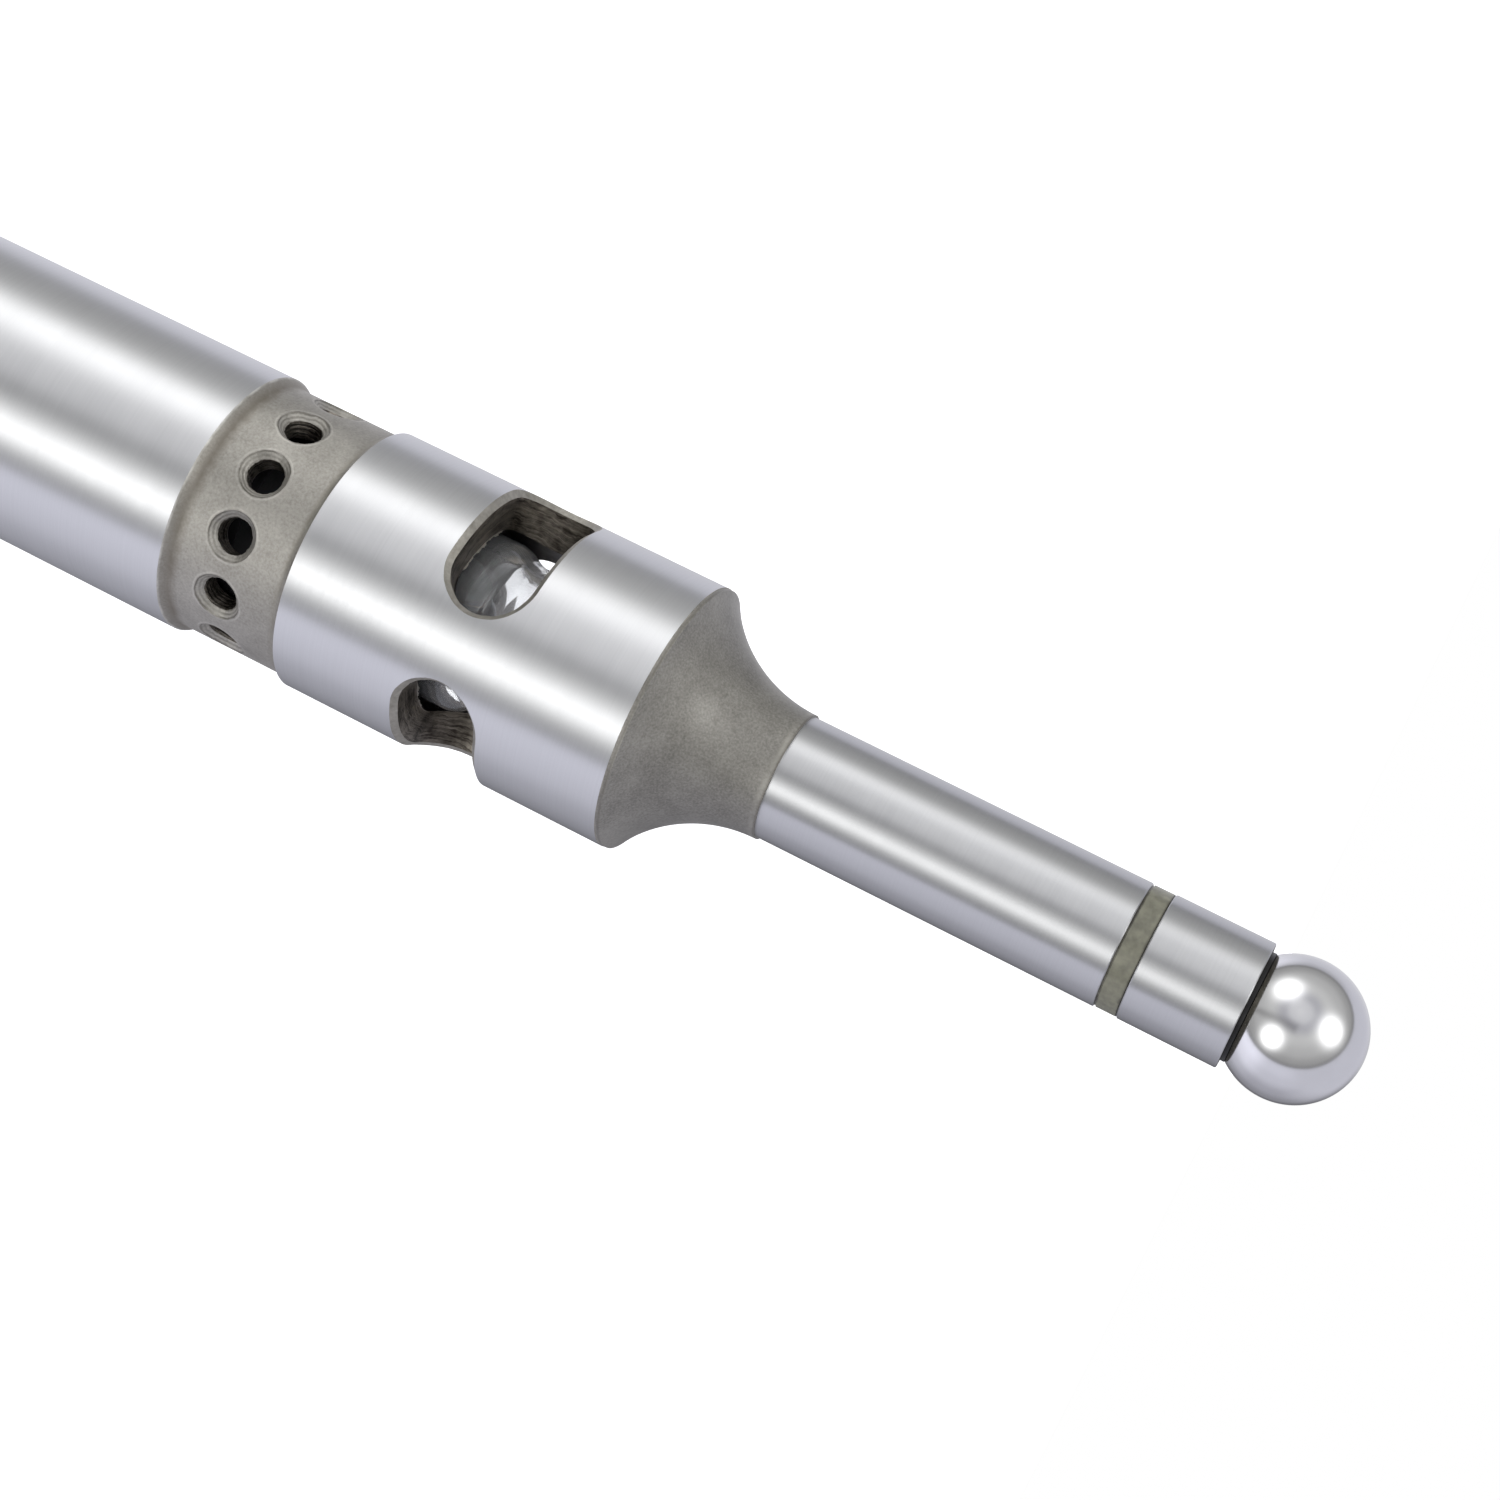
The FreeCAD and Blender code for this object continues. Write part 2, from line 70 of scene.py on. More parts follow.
def arc(centre, radius, start, end, steps):
    # arc of a half section from one angle to another: r = rc + R cos t, z = zc + R sin t
    t = np.radians(np.linspace(start, end, steps + 1))
    side = 1 if end > start else -1
    return (centre[0] + radius * np.cos(t), centre[1] + radius * np.sin(t),
            side * np.cos(t), side * np.sin(t))


def turned(stretches, slot=0, steps=ringSteps):
    # each stretch of the half section carried once round the axis: P(i, a) = (r_i cos a, r_i sin a, z_i)
    a = np.linspace(-90, 270, steps + 1)
    patches = []
    for r, z, nr, nz in stretches:
        points = around(r[:, None], z[:, None], a[None, :])
        patches.append((points, around(nr[:, None], nz[:, None], a[None, :]) / mm, slot))
    return patches


def openingLoop(kind, low, high):
    # border of one sector, a degree a step along its ends, and the opening's own angle on the same rays
    half = 180 / kind["count"]
    n, m = int(2 * half), kind["sideSteps"]
    theta = np.concatenate([np.linspace(half, -half, n + 1)[:-1], np.full(m, -half),
                            np.linspace(-half, half, n + 1)[:-1], np.full(m, half)])
    side = np.linspace(high, low, m + 1)
    z = np.concatenate([np.full(n, high), side[:-1], np.full(n, low), side[::-1][:-1]])
    return theta, z


def openingAngles(kind, theta, z):
    # rays from the opening's middle through the border meet its edge at cutter angle a and swing s
    a = np.concatenate([np.linspace(-90, 90, 800), np.linspace(90, 270, 800), [270]])
    s = np.concatenate([np.full(800, 1), np.full(800, -1), [1]]) * kind["swing"] / 2
    edge = s + np.degrees(np.arcsin(kind["mouth"] * np.cos(np.radians(a)) / kind["radius"]))
    rise = kind["mouth"] * np.sin(np.radians(a))
    ray = np.unwrap(np.arctan2(rise, np.radians(edge) * kind["radius"]))
    wanted = np.arctan2(z - kind["height"], np.radians(theta) * kind["radius"])
    wanted = ray[0] + np.mod(wanted - ray[0], 2 * np.pi)
    # the straight stretches between the two round ends are the jumps of s, so they are spread by the ray
    order = np.searchsorted(ray, wanted, side="right").clip(1, len(ray) - 1)
    share = (wanted - ray[order - 1]) / np.maximum(ray[order] - ray[order - 1], 1e-12)
    angle = a[order - 1] + share * (a[order] - a[order - 1])
    swing = s[order - 1] + share * (s[order] - s[order - 1])
    level = np.abs(s[order] - s[order - 1]) > 1e-9
    # on a straight stretch the ray z / (r s) = tan gives the swing at once
    flat = rise[order - 1] / np.tan(wanted) / kind["radius"]
    swing = np.where(level, np.degrees(flat), swing)
    return angle, swing


def openingEdge(kind, cutter, radius, angle, swing):
    # edge of the opening on a cylinder: theta = s + asin(c cos a / r), z = height + c sin a
    a = np.radians(angle)
    return swing + np.degrees(np.arcsin(cutter * np.cos(a) / radius)), kind["height"] + cutter * np.sin(a)


def closedLoop(values):
    return np.concatenate([values, values[..., :1]], -1)


def ragged(kind, number, amount, strands=(3, 7, 13, 22)):
    # hand-finished edge: four sine waves of the cutter's angle, with other phases at every opening
    a = np.radians(kind["loop"][0])
    waves = [np.sin(k * a + (2.1 + k) * (number + 1) * 1.7) / (1 + 0.25 * j) for j, k in enumerate(strands)]
    return amount * sum(waves) / 2


def piercedBand(kind, radius, low, high, cutter, outward, slot, rough=0.0):
    # stretch of a cylinder with openings: each sector blends (theta, z) from the opening's edge to its border
    theta, z = openingLoop(kind, low, high)
    u = np.linspace(0, 1, kind["rows"] + 1)[:, None] ** 1.3
    patches = []
    for number in range(kind["count"]):
        edgeTheta, edgeZ = openingEdge(kind, cutter + ragged(kind, number, rough), radius, *kind["loop"])
        a = kind["first"] + number * 360 / kind["count"] + closedLoop(edgeTheta * (1 - u) + theta * u)
        h = closedLoop(edgeZ * (1 - u) + z * u)
        patches.append((around(radius, h, a), around(outward, np.zeros_like(h), a) / mm, slot))
    return patches


def openingWall(kind, outer, inner, slot):
    # ruled wall between the opening's edge on two cylinders; its normal is the cross product of the two runs
    # outer and inner are (cutter radius, cylinder radius, roughness of the edge)
    patches = []
    for number in range(kind["count"]):
        turn = kind["first"] + number * 360 / kind["count"]
        rings = [openingEdge(kind, c + ragged(kind, number, rough), r, *kind["loop"]) + (r,)
                 for c, r, rough in (outer, inner)]
        points = np.stack([around(r, h, turn + t) for t, h, r in rings])
        run = np.roll(points, -1, 1) - np.roll(points, 1, 1)
        drop = np.broadcast_to(points[1] - points[0], points.shape)
        normals = np.cross(run, drop)
        normals /= np.linalg.norm(normals, axis=-1, keepdims=True)
        middle = around(outer[1], kind["height"], turn)
        if np.sum(normals[0] * (middle - points[0])) < 0:
            normals = -normals
        patches.append((np.concatenate([points, points[:, :1]], 1),
                        np.concatenate([normals, normals[:, :1]], 1), slot))
    return patches


def meshPiece(name, patches, finishes, body, replaced):
    # grids of points and normals joined into one mesh: equal points are merged, normals kept at each corner
    points, normals, quads, index, start = [], [], [], [], 0
    for grid, normal, slot in patches:
        m, n = grid.shape[:2]
        i = np.arange(m * n).reshape(m, n)
        q = np.stack([i[:-1, :-1], i[1:, :-1], i[1:, 1:], i[:-1, 1:]], -1).reshape(-1, 4)
        flat, way = grid.reshape(-1, 3), normal.reshape(-1, 3)
        facing = np.cross(flat[q[:, 2]] - flat[q[:, 0]], flat[q[:, 3]] - flat[q[:, 1]])
        if np.sum(facing * way[q].mean(1)) < 0:
            q = q[:, ::-1]
        points.append(flat)
        normals.append(way)
        quads.append(q + start)
        index.append(np.full(len(q), slot))
        start += m * n
    points, normals, quads = np.concatenate(points), np.concatenate(normals), np.concatenate(quads)
    index = np.concatenate(index)
    merged, place = np.unique(np.round(points / 1e-8).astype(np.int64), axis=0, return_inverse=True)
    place = place.reshape(-1)
    corners = place[quads]
    keep = corners != np.roll(corners, -1, 1)
    whole = keep.sum(1) >= 3
    corners, keep, quads, index = corners[whole], keep[whole], quads[whole], index[whole]
    loops, total = corners[keep], keep.sum(1)
    mesh = bpy.data.meshes.new(name)
    mesh.vertices.add(len(merged))
    mesh.vertices.foreach_set("co", (merged * 1e-8).astype(np.float32).ravel())
    mesh.loops.add(len(loops))
    mesh.loops.foreach_set("vertex_index", loops.astype(np.int32))
    mesh.polygons.add(len(total))
    mesh.polygons.foreach_set("loop_start", np.concatenate([[0], np.cumsum(total)[:-1]]).astype(np.int32))
    for finish in finishes:
        mesh.materials.append(finish)
    mesh.polygons.foreach_set("material_index", index.astype(np.int32))
    mesh.update(calc_edges=True)
    mesh.shade_smooth()
    mesh.normals_split_custom_set(normals[quads[keep]])
    piece = bpy.data.objects.new(name, mesh)
    bpy.context.scene.collection.objects.link(piece)
    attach(piece, body)
    if replaced:
        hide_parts(*replaced)
    print(name, "faces", len(total))


def addNode(tree, kind, **values):
    # node with properties by name, and inputs by name or number
    node = tree.nodes.new(kind)
    for key, value in values.items():
        if key.startswith("in_"):
            node.inputs[key[3:].replace("_", " ")].default_value = value
        else:
            setattr(node, key, value)
    return node


def feed(tree, socket, value):
    # a number or colour goes straight on the socket, and an output is linked to it
    if isinstance(value, (int, float, tuple)):
        socket.default_value = value
    else:
        tree.links.new(value, socket)


def mathNode(tree, operation, a, b=0.5, clamp=False):
    node = addNode(tree, "ShaderNodeMath", operation=operation, use_clamp=clamp)
    feed(tree, node.inputs[0], a)
    feed(tree, node.inputs[1], b)
    return node.outputs[0]


def times(tree, a, b, clamp=False):
    return mathNode(tree, "MULTIPLY", a, b, clamp)


def plus(tree, a, b, clamp=False):
    return mathNode(tree, "ADD", a, b, clamp)


def minus(tree, a, b, clamp=False):
    return mathNode(tree, "SUBTRACT", a, b, clamp)


def mapRange(tree, value, fromMin, fromMax, toMin, toMax, smooth=False):
    node = addNode(tree, "ShaderNodeMapRange", interpolation_type="SMOOTHSTEP" if smooth else "LINEAR")
    tree.links.new(value, node.inputs["Value"])
    for key, number in (("From Min", fromMin), ("From Max", fromMax), ("To Min", toMin), ("To Max", toMax)):
        feed(tree, node.inputs[key], number)
    return node.outputs["Result"]


def mixColour(tree, factor, first, second, blend="MIX"):
    node = addNode(tree, "ShaderNodeMix", data_type="RGBA", blend_type=blend)
    for place, value in ((0, factor), (6, first), (7, second)):          # Factor, A and B of a colour mix
        feed(tree, node.inputs[place], value)
    return node.outputs[2]


def objectPlace(tree):
    return addNode(tree, "ShaderNodeTexCoord").outputs["Object"]


def splitVector(tree, vector):
    node = addNode(tree, "ShaderNodeSeparateXYZ")
    tree.links.new(vector, node.inputs["Vector"])
    return node.outputs


def aroundZero(tree, noise):
    # noise lies round 0.5, so half is taken off
    return minus(tree, noise, 0.5)


def objectNoise(tree, scale, detail=2.0, roughness=0.5, stretch=(1, 1, 1)):
    # noise on Object coordinates, in metres, stretched by axis
    mapping = addNode(tree, "ShaderNodeMapping", in_Scale=stretch)
    tree.links.new(objectPlace(tree), mapping.inputs["Vector"])
    noise = addNode(tree, "ShaderNodeTexNoise", in_Scale=scale, in_Detail=detail, in_Roughness=roughness)
    tree.links.new(mapping.outputs["Vector"], noise.inputs["Vector"])
    return noise.outputs["Fac"]


def newGroup(name, inputs, outputs):
    # inputs by label and value, a tuple for a colour; of the outputs only Color is one
    group = bpy.data.node_groups.new(name, "ShaderNodeTree")
    for label, value in inputs.items():
        kind = "NodeSocketColor" if isinstance(value, tuple) else "NodeSocketFloat"
        group.interface.new_socket(label, in_out="INPUT", socket_type=kind).default_value = value
    for label in outputs:
        kind = "NodeSocketColor" if label == "Color" else "NodeSocketFloat"
        group.interface.new_socket(label, in_out="OUTPUT", socket_type=kind)
    return group, group.nodes.new("NodeGroupInput"), group.nodes.new("NodeGroupOutput")


# each noise is (scale, detail, roughness, stretch by axis)
grinding = {"fine": (60, 3, 0.6, (1, 1, 110)), "broad": (45, 2, 0.5, (1, 1, 12)), "cloud": (160, 3, 0.55),
            "shares": (0.55, 0.3, 0.15)}


def makeGrindingLines():
    # fine marks that run round the axis: noise drawn out along x and y, close together along z
    group, enter, leave = newGroup(
        "grindingLines",
        {"Tint": (0.7, 0.7, 0.7, 1), "Spread": 0.06, "Roughness": 0.4, "Roughness Spread": 0.06},
        ("Color", "Roughness", "Height"))
    fine, broad, cloud = [times(group, objectNoise(group, *grinding[key]), share)
                          for key, share in zip(("fine", "broad", "cloud"), grinding["shares"])]
    marks = plus(group, plus(group, fine, broad), cloud)
    centred = aroundZero(group, marks)
    shift = plus(group, times(group, centred, enter.outputs["Spread"]), 1.0)
    colour = addNode(group, "ShaderNodeVectorMath", operation="SCALE")
    group.links.new(enter.outputs["Tint"], colour.inputs[0])
    group.links.new(shift, colour.inputs["Scale"])
    group.links.new(colour.outputs[0], leave.inputs["Color"])
    rough = times(group, centred, enter.outputs["Roughness Spread"])
    group.links.new(plus(group, enter.outputs["Roughness"], rough), leave.inputs["Roughness"])
    group.links.new(marks, leave.inputs["Height"])
    return group


def makeGrain():
    # even grain of a blasted, moulded or cast surface, with a slow cloud over it
    group, enter, leave = newGroup(
        "grain",
        {"Tint": (0.5, 0.5, 0.5, 1), "Shade": (0.3, 0.3, 0.3, 1), "Scale": 3000.0, "Cloud Scale": 200.0,
         "Contrast": 0.5},
        ("Color", "Height", "Cloud"))
    place = objectPlace(group)
    fine = addNode(group, "ShaderNodeTexNoise", in_Detail=2.0, in_Roughness=0.6)
    cloud = addNode(group, "ShaderNodeTexNoise", in_Detail=3.0, in_Roughness=0.55)
    for noise, socket in ((fine, "Scale"), (cloud, "Cloud Scale")):
        group.links.new(place, noise.inputs["Vector"])
        group.links.new(enter.outputs[socket], noise.inputs["Scale"])
    mixed = plus(group, times(group, fine.outputs["Fac"], 0.55), times(group, cloud.outputs["Fac"], 0.45))
    centred = times(group, aroundZero(group, mixed), enter.outputs["Contrast"])
    factor = plus(group, centred, 0.5, clamp=True)
    colour = mixColour(group, factor, enter.outputs["Shade"], enter.outputs["Tint"])
    group.links.new(colour, leave.inputs["Color"])
    group.links.new(fine.outputs["Fac"], leave.inputs["Height"])
    group.links.new(cloud.outputs["Fac"], leave.inputs["Cloud"])
    return group


# along and across are the streaks' noise scales; warp and blotches are noises of their own
milling = {"along": 430, "across": 4600, "warp": (520, 3, 0.6), "warpDepth": 0.0009,
           "blotches": (650, 3, 0.65), "blotchShare": 0.9}


def makeMillingStreaks():
    # marks of a side cutter lie at one distance from the axis, so noise is close together along the radius
    group, enter, leave = newGroup(
        "millingStreaks",
        {"Tint": (0.4, 0.4, 0.4, 1), "Shade": (0.1, 0.1, 0.1, 1), "Contrast": 2.0}, ("Color", "Height"))
    place = objectPlace(group)
    flat = addNode(group, "ShaderNodeVectorMath", operation="MULTIPLY")
    flat.inputs[1].default_value = (1, 1, 0)
    group.links.new(place, flat.inputs[0])
    size = addNode(group, "ShaderNodeVectorMath", operation="LENGTH")
    group.links.new(flat.outputs[0], size.inputs[0])
    slow = addNode(group, "ShaderNodeVectorMath", operation="SCALE")
    slow.inputs["Scale"].default_value = milling["along"]
    group.links.new(place, slow.inputs[0])
    across = addNode(group, "ShaderNodeCombineXYZ")
    warp = times(group, objectNoise(group, *milling["warp"]), milling["warpDepth"])
    bent = plus(group, size.outputs["Value"], warp)
    for axis in ("X", "Y"):
        group.links.new(times(group, bent, milling["across"]), across.inputs[axis])
    where = addNode(group, "ShaderNodeVectorMath", operation="ADD")
    group.links.new(slow.outputs[0], where.inputs[0])
    group.links.new(across.outputs[0], where.inputs[1])
    noise = addNode(group, "ShaderNodeTexNoise", in_Scale=1.0, in_Detail=4.0, in_Roughness=0.62,
                    in_Distortion=0.4)
    group.links.new(where.outputs[0], noise.inputs["Vector"])
    blotch = aroundZero(group, objectNoise(group, *milling["blotches"]))
    blotch = times(group, blotch, milling["blotchShare"])
    centred = plus(group, aroundZero(group, noise.outputs["Fac"]), blotch)
    centred = times(group, centred, enter.outputs["Contrast"])
    factor = plus(group, centred, 0.5, clamp=True)
    colour = mixColour(group, factor, enter.outputs["Shade"], enter.outputs["Tint"])
    group.links.new(colour, leave.inputs["Color"])
    group.links.new(noise.outputs["Fac"], leave.inputs["Height"])
    return group


def makeBand():
    # mask of a band round the axis: 1 at one height, 0 a width away, its border broken up by noise
    group, enter, leave = newGroup(
        "band",
        {"At": 0.0, "Width": 0.0002, "Ragged": 0.0002, "Scale": 700.0, "Broken": 0.5}, ("Mask",))
    place = objectPlace(group)
    noise = addNode(group, "ShaderNodeTexNoise", in_Detail=3.0, in_Roughness=0.6)
    group.links.new(place, noise.inputs["Vector"])
    group.links.new(enter.outputs["Scale"], noise.inputs["Scale"])
    wander = times(group, aroundZero(group, noise.outputs["Fac"]), enter.outputs["Ragged"])
    away = minus(group, splitVector(group, place)["Z"], enter.outputs["At"])
    away = mathNode(group, "ABSOLUTE", plus(group, away, wander))
    near = minus(group, 1.0, mathNode(group, "DIVIDE", away, enter.outputs["Width"]), clamp=True)
    gaps = mapRange(group, noise.outputs["Fac"], 0.38, 0.62, 0, 1, True)
    gaps = minus(group, 1.0, times(group, gaps, enter.outputs["Broken"]))
    group.links.new(times(group, near, gaps, clamp=True), leave.inputs["Mask"])
    return group


# Dark and Light are (distance from the mouth, half width) of a ring of painted shadow at the mouth and a ring
# of painted highlight just outside it; pitch is that of the tool's rings; all in metres
ringMarks = {"wander": (900, 3, 0.6), "wanderDepth": 0.00022, "gaps": (620, 2, 0.5), "pitch": 0.00021,
             "Dark": (-0.00002, 0.00009), "Light": (0.00014, 0.00011)}


def makeHoleRings():
    # rings round the sound holes, by the distance along the surface from the nearest hole's axis: a painted
    # shadow at the mouth, a painted highlight round it and the tool's rings
    group, enter, leave = newGroup(
        "holeRings",
        {"Height": 0.0764, "Radius": 0.0095, "Mouth": 0.001825, "Count": 12.0}, ("Dark", "Light", "Rings"))
    place = splitVector(group, objectPlace(group))
    share = mathNode(group, "DIVIDE", mathNode(group, "ARCTAN2", place["Y"], place["X"]), 2 * math.pi)
    share = times(group, share, enter.outputs["Count"])
    share = aroundZero(group, mathNode(group, "FRACT", plus(group, share, 0.5)))
    along = mathNode(group, "DIVIDE", times(group, share, 2 * math.pi), enter.outputs["Count"])
    along = times(group, along, enter.outputs["Radius"])
    up = minus(group, place["Z"], enter.outputs["Height"])
    squares = plus(group, times(group, along, along), times(group, up, up))
    wander = aroundZero(group, objectNoise(group, *ringMarks["wander"]))
    wander = times(group, wander, ringMarks["wanderDepth"])
    away = plus(group, mathNode(group, "SQRT", squares), wander)
    away = minus(group, away, enter.outputs["Mouth"])
    gaps = mapRange(group, objectNoise(group, *ringMarks["gaps"]), 0.36, 0.56, 0.25, 1, True)
    for label in ("Dark", "Light"):
        at, width = ringMarks[label]
        near = mathNode(group, "ABSOLUTE", minus(group, away, at))
        near = minus(group, 1.0, mathNode(group, "DIVIDE", near, width), clamp=True)
        group.links.new(times(group, near, gaps), leave.inputs[label])
    waves = mathNode(group, "SINE", times(group, away, 2 * math.pi / ringMarks["pitch"]))
    inside = mapRange(group, away, -0.00004, 0.00004, 1, 0, True)
    waves = times(group, times(group, waves, inside), gaps)
    group.links.new(waves, leave.inputs["Rings"])
    return group


def useGroup(tree, group, **values):
    node = tree.nodes.new("ShaderNodeGroup")
    node.node_tree = group
    for key, value in values.items():
        node.inputs[key.replace("_", " ")].default_value = value
    return node


def newFinish(name, **values):
    # material with a Principled BSDF; the values that are the same all over go straight on its sockets
    finish = bpy.data.materials.new(name)
    finish.use_nodes = True
    tree = finish.node_tree
    shader = tree.nodes["Principled BSDF"]
    for key, value in values.items():
        shader.inputs[key.replace("_", " ")].default_value = value
    return finish, tree, shader


def bumpFrom(tree, shader, height, strength, distance):
    bump = addNode(tree, "ShaderNodeBump", in_Strength=strength, in_Distance=distance)
    tree.links.new(height, bump.inputs["Height"])
    tree.links.new(bump.outputs["Normal"], shader.inputs["Normal"])


def roundTangent(tree, shader):
    # tangent that runs round the axis, so the lobe stretches along it
    tangent = addNode(tree, "ShaderNodeTangent", direction_type="RADIAL", axis="Z")
    tree.links.new(tangent.outputs["Tangent"], shader.inputs["Tangent"])


grindingLines, grain, millingStreaks = makeGrindingLines(), makeGrain(), makeMillingStreaks()
band, holeRings = makeBand(), makeHoleRings()


def groundFinish(name, look):
    # cylindrical grinding: marks round the axis, highlight drawn out along it
    finish, tree, shader = newFinish(name, Metallic=1.0, Anisotropic=look["anisotropic"],
                                     Anisotropic_Rotation=0.25)
    marks = useGroup(tree, grindingLines, Tint=look["tint"], Spread=look["spread"],
                     Roughness=look["roughness"], Roughness_Spread=look["roughnessSpread"])
    tree.links.new(marks.outputs["Color"], shader.inputs["Base Color"])
    tree.links.new(marks.outputs["Roughness"], shader.inputs["Roughness"])
    bumpFrom(tree, shader, marks.outputs["Height"], look["bump"], look["depth"])
    roundTangent(tree, shader)
    return finish


def grainOf(tree, look):
    return useGroup(tree, grain, Tint=look["tint"], Shade=look["shade"], Scale=look["scale"],
                    Cloud_Scale=look["cloud"], Contrast=look["contrast"])


def grainFinish(name, look, **values):
    # blasted, moulded, turned or painted: grain colour, one roughness, fine bump
    finish, tree, shader = newFinish(name, Roughness=look["roughness"], **values)
    speckle = grainOf(tree, look)
    tree.links.new(speckle.outputs["Color"], shader.inputs["Base Color"])
    bumpFrom(tree, shader, speckle.outputs["Height"], look["bump"], look["depth"])
    return finish


coatRoughness = 0.45
# shares of the painted shadow, painted highlight, painted crests and painted troughs round the holes, and the
# rings' bump height
ringShares = {"dark": 0.6, "light": 0.45, "waves": 0.26, "troughs": -1.3, "height": 0.6}


def blastedFinish(name, look, paintedBands, holes=False):
    # blasted steel with rings round its holes and bands round the axis: dark bands of painted shade in the
    # fillets and corners, thin light lines of painted highlight on the edges; each band (height, width,
    # ragged edge, broken share, colour) in mm
    finish, tree, shader = newFinish(name, Metallic=1.0, Roughness=look["roughness"],
                                     Coat_Weight=look["coat"], Coat_Roughness=coatRoughness)
    speckle = grainOf(tree, look)
    colour, height = speckle.outputs["Color"], speckle.outputs["Height"]
    for at, width, edge, broken, paintedTone in paintedBands:
        mask = useGroup(tree, band, At=at * mm, Width=width * mm, Ragged=edge * mm, Broken=broken)
        colour = mixColour(tree, mask.outputs["Mask"], colour, paintedTone + (1,))
    if holes:
        # rings painted round the holes: a dark ring of painted shadow at the mouth, a light ring of painted
        # highlight round it, and the tool's rings painted lighter on the crests and darker in the troughs
        # over their own bump
        rings = useGroup(tree, holeRings).outputs
        waves = times(tree, rings["Rings"], ringShares["waves"])
        troughs = times(tree, waves, ringShares["troughs"])
        for share, paintedTone in ((times(tree, rings["Dark"], ringShares["dark"]), "dark"),
                             (times(tree, rings["Light"], ringShares["light"]), "light"),
                             (mathNode(tree, "MAXIMUM", waves, 0.0), "light"),
                             (mathNode(tree, "MAXIMUM", troughs, 0.0), "dark")):
            colour = mixColour(tree, share, colour, look[paintedTone])
        height = plus(tree, height, times(tree, rings["Rings"], ringShares["height"]))
    tree.links.new(colour, shader.inputs["Base Color"])
    bumpFrom(tree, shader, height, look["bump"], look["depth"])
    return finish


def milledFinish(name, look):
    # cut by a milling cutter or a drill: streaks, one roughness, coarser bump
    finish, tree, shader = newFinish(name, Metallic=1.0, Roughness=look["roughness"])
    marks = useGroup(tree, millingStreaks, Tint=look["tint"], Shade=look["shade"], Contrast=look["contrast"])
    tree.links.new(marks.outputs["Color"], shader.inputs["Base Color"])
    bumpFrom(tree, shader, marks.outputs["Height"], look["bump"], look["depth"])
    return finish


groundLook = {"tint": (0.70, 0.705, 0.71, 1), "spread": 0.24, "roughness": 0.38, "roughnessSpread": 0.16,
              "anisotropic": 0.95, "bump": 0.14, "depth": 0.00001}
noseLook = dict(groundLook, tint=(0.60, 0.605, 0.61, 1))
ballLook = {"tint": (0.775, 0.775, 0.78, 1), "shade": (0.70, 0.70, 0.705, 1), "scale": 900, "cloud": 150,
            "contrast": 1.0, "roughness": 0.15}
grooveLook = {"tint": (0.52, 0.502, 0.458, 1), "shade": (0.30, 0.286, 0.254, 1), "scale": 5200, "cloud": 380,
              "contrast": 2.4, "roughness": 0.62, "coat": 0.5, "bump": 0.5, "depth": 0.00003,
              "dark": (0.13, 0.12, 0.10, 1), "light": (0.72, 0.70, 0.65, 1)}
flareLook = {"tint": (0.385, 0.372, 0.336, 1), "shade": (0.20, 0.191, 0.168, 1), "scale": 6200, "cloud": 340,
             "contrast": 3.2, "roughness": 0.64, "coat": 1.0, "bump": 0.6, "depth": 0.00003}
millLook = {"tint": (0.31, 0.28, 0.237, 1), "shade": (0.05, 0.042, 0.034, 1), "contrast": 2.6,
            "roughness": 0.5, "bump": 0.7, "depth": 0.00008}
rimLook = {"tint": (0.54, 0.52, 0.47, 1), "shade": (0.29, 0.275, 0.24, 1), "scale": 3000, "cloud": 700,
           "contrast": 2.2, "roughness": 0.6, "bump": 0.35, "depth": 0.00003}
boreLook = {"tint": (0.16, 0.15, 0.14, 1), "shade": (0.06, 0.055, 0.05, 1), "scale": 1500, "cloud": 250,
            "contrast": 1.5, "roughness": 0.42, "bump": 0.3, "depth": 0.00004}
holeLook = {"tint": (0.34, 0.31, 0.27, 1), "shade": (0.05, 0.044, 0.038, 1), "contrast": 3.2,
            "roughness": 0.45, "bump": 0.8, "depth": 0.00006}

groundSteel = groundFinish("ground_steel", groundLook)
noseSteel = groundFinish("nose_steel", noseLook)
# the groove's dark bands in its two fillets are painted shade, its thin light lines at the edges painted
# highlight
grooveSteel = blastedFinish("blasted_groove", grooveLook, [
    (72.5, 0.75, 0.5, 0.3, (0.25, 0.225, 0.185)), (71.82, 0.12, 0.1, 0.5, (0.72, 0.71, 0.67)),
    (81.05, 0.40, 0.4, 0.45, (0.30, 0.28, 0.235)), (81.46, 0.09, 0.1, 0.4, (0.72, 0.71, 0.67))], holes=True)
# the flare's light lines at the body's edge and by the nose are painted highlight, its dark bands on the land
# and at the nose's foot painted shade
flareSteel = blastedFinish("blasted_flare", flareLook, [
    (107.4, 0.07, 0.08, 0.6, (0.55, 0.52, 0.46)), (107.62, 0.14, 0.15, 0.5, (0.20, 0.185, 0.155)),
    (116.85, 0.12, 0.1, 0.4, (0.16, 0.145, 0.12)), (116.6, 0.3, 0.4, 0.7, (0.42, 0.405, 0.36))])
milledWall = milledFinish("milled_wall", millLook)
drilledWall = milledFinish("drilled_wall", holeLook)
brokenEdge = grainFinish("broken_edge", rimLook, Metallic=1.0)
boreSteel = grainFinish("bored_steel", boreLook, Metallic=1.0)


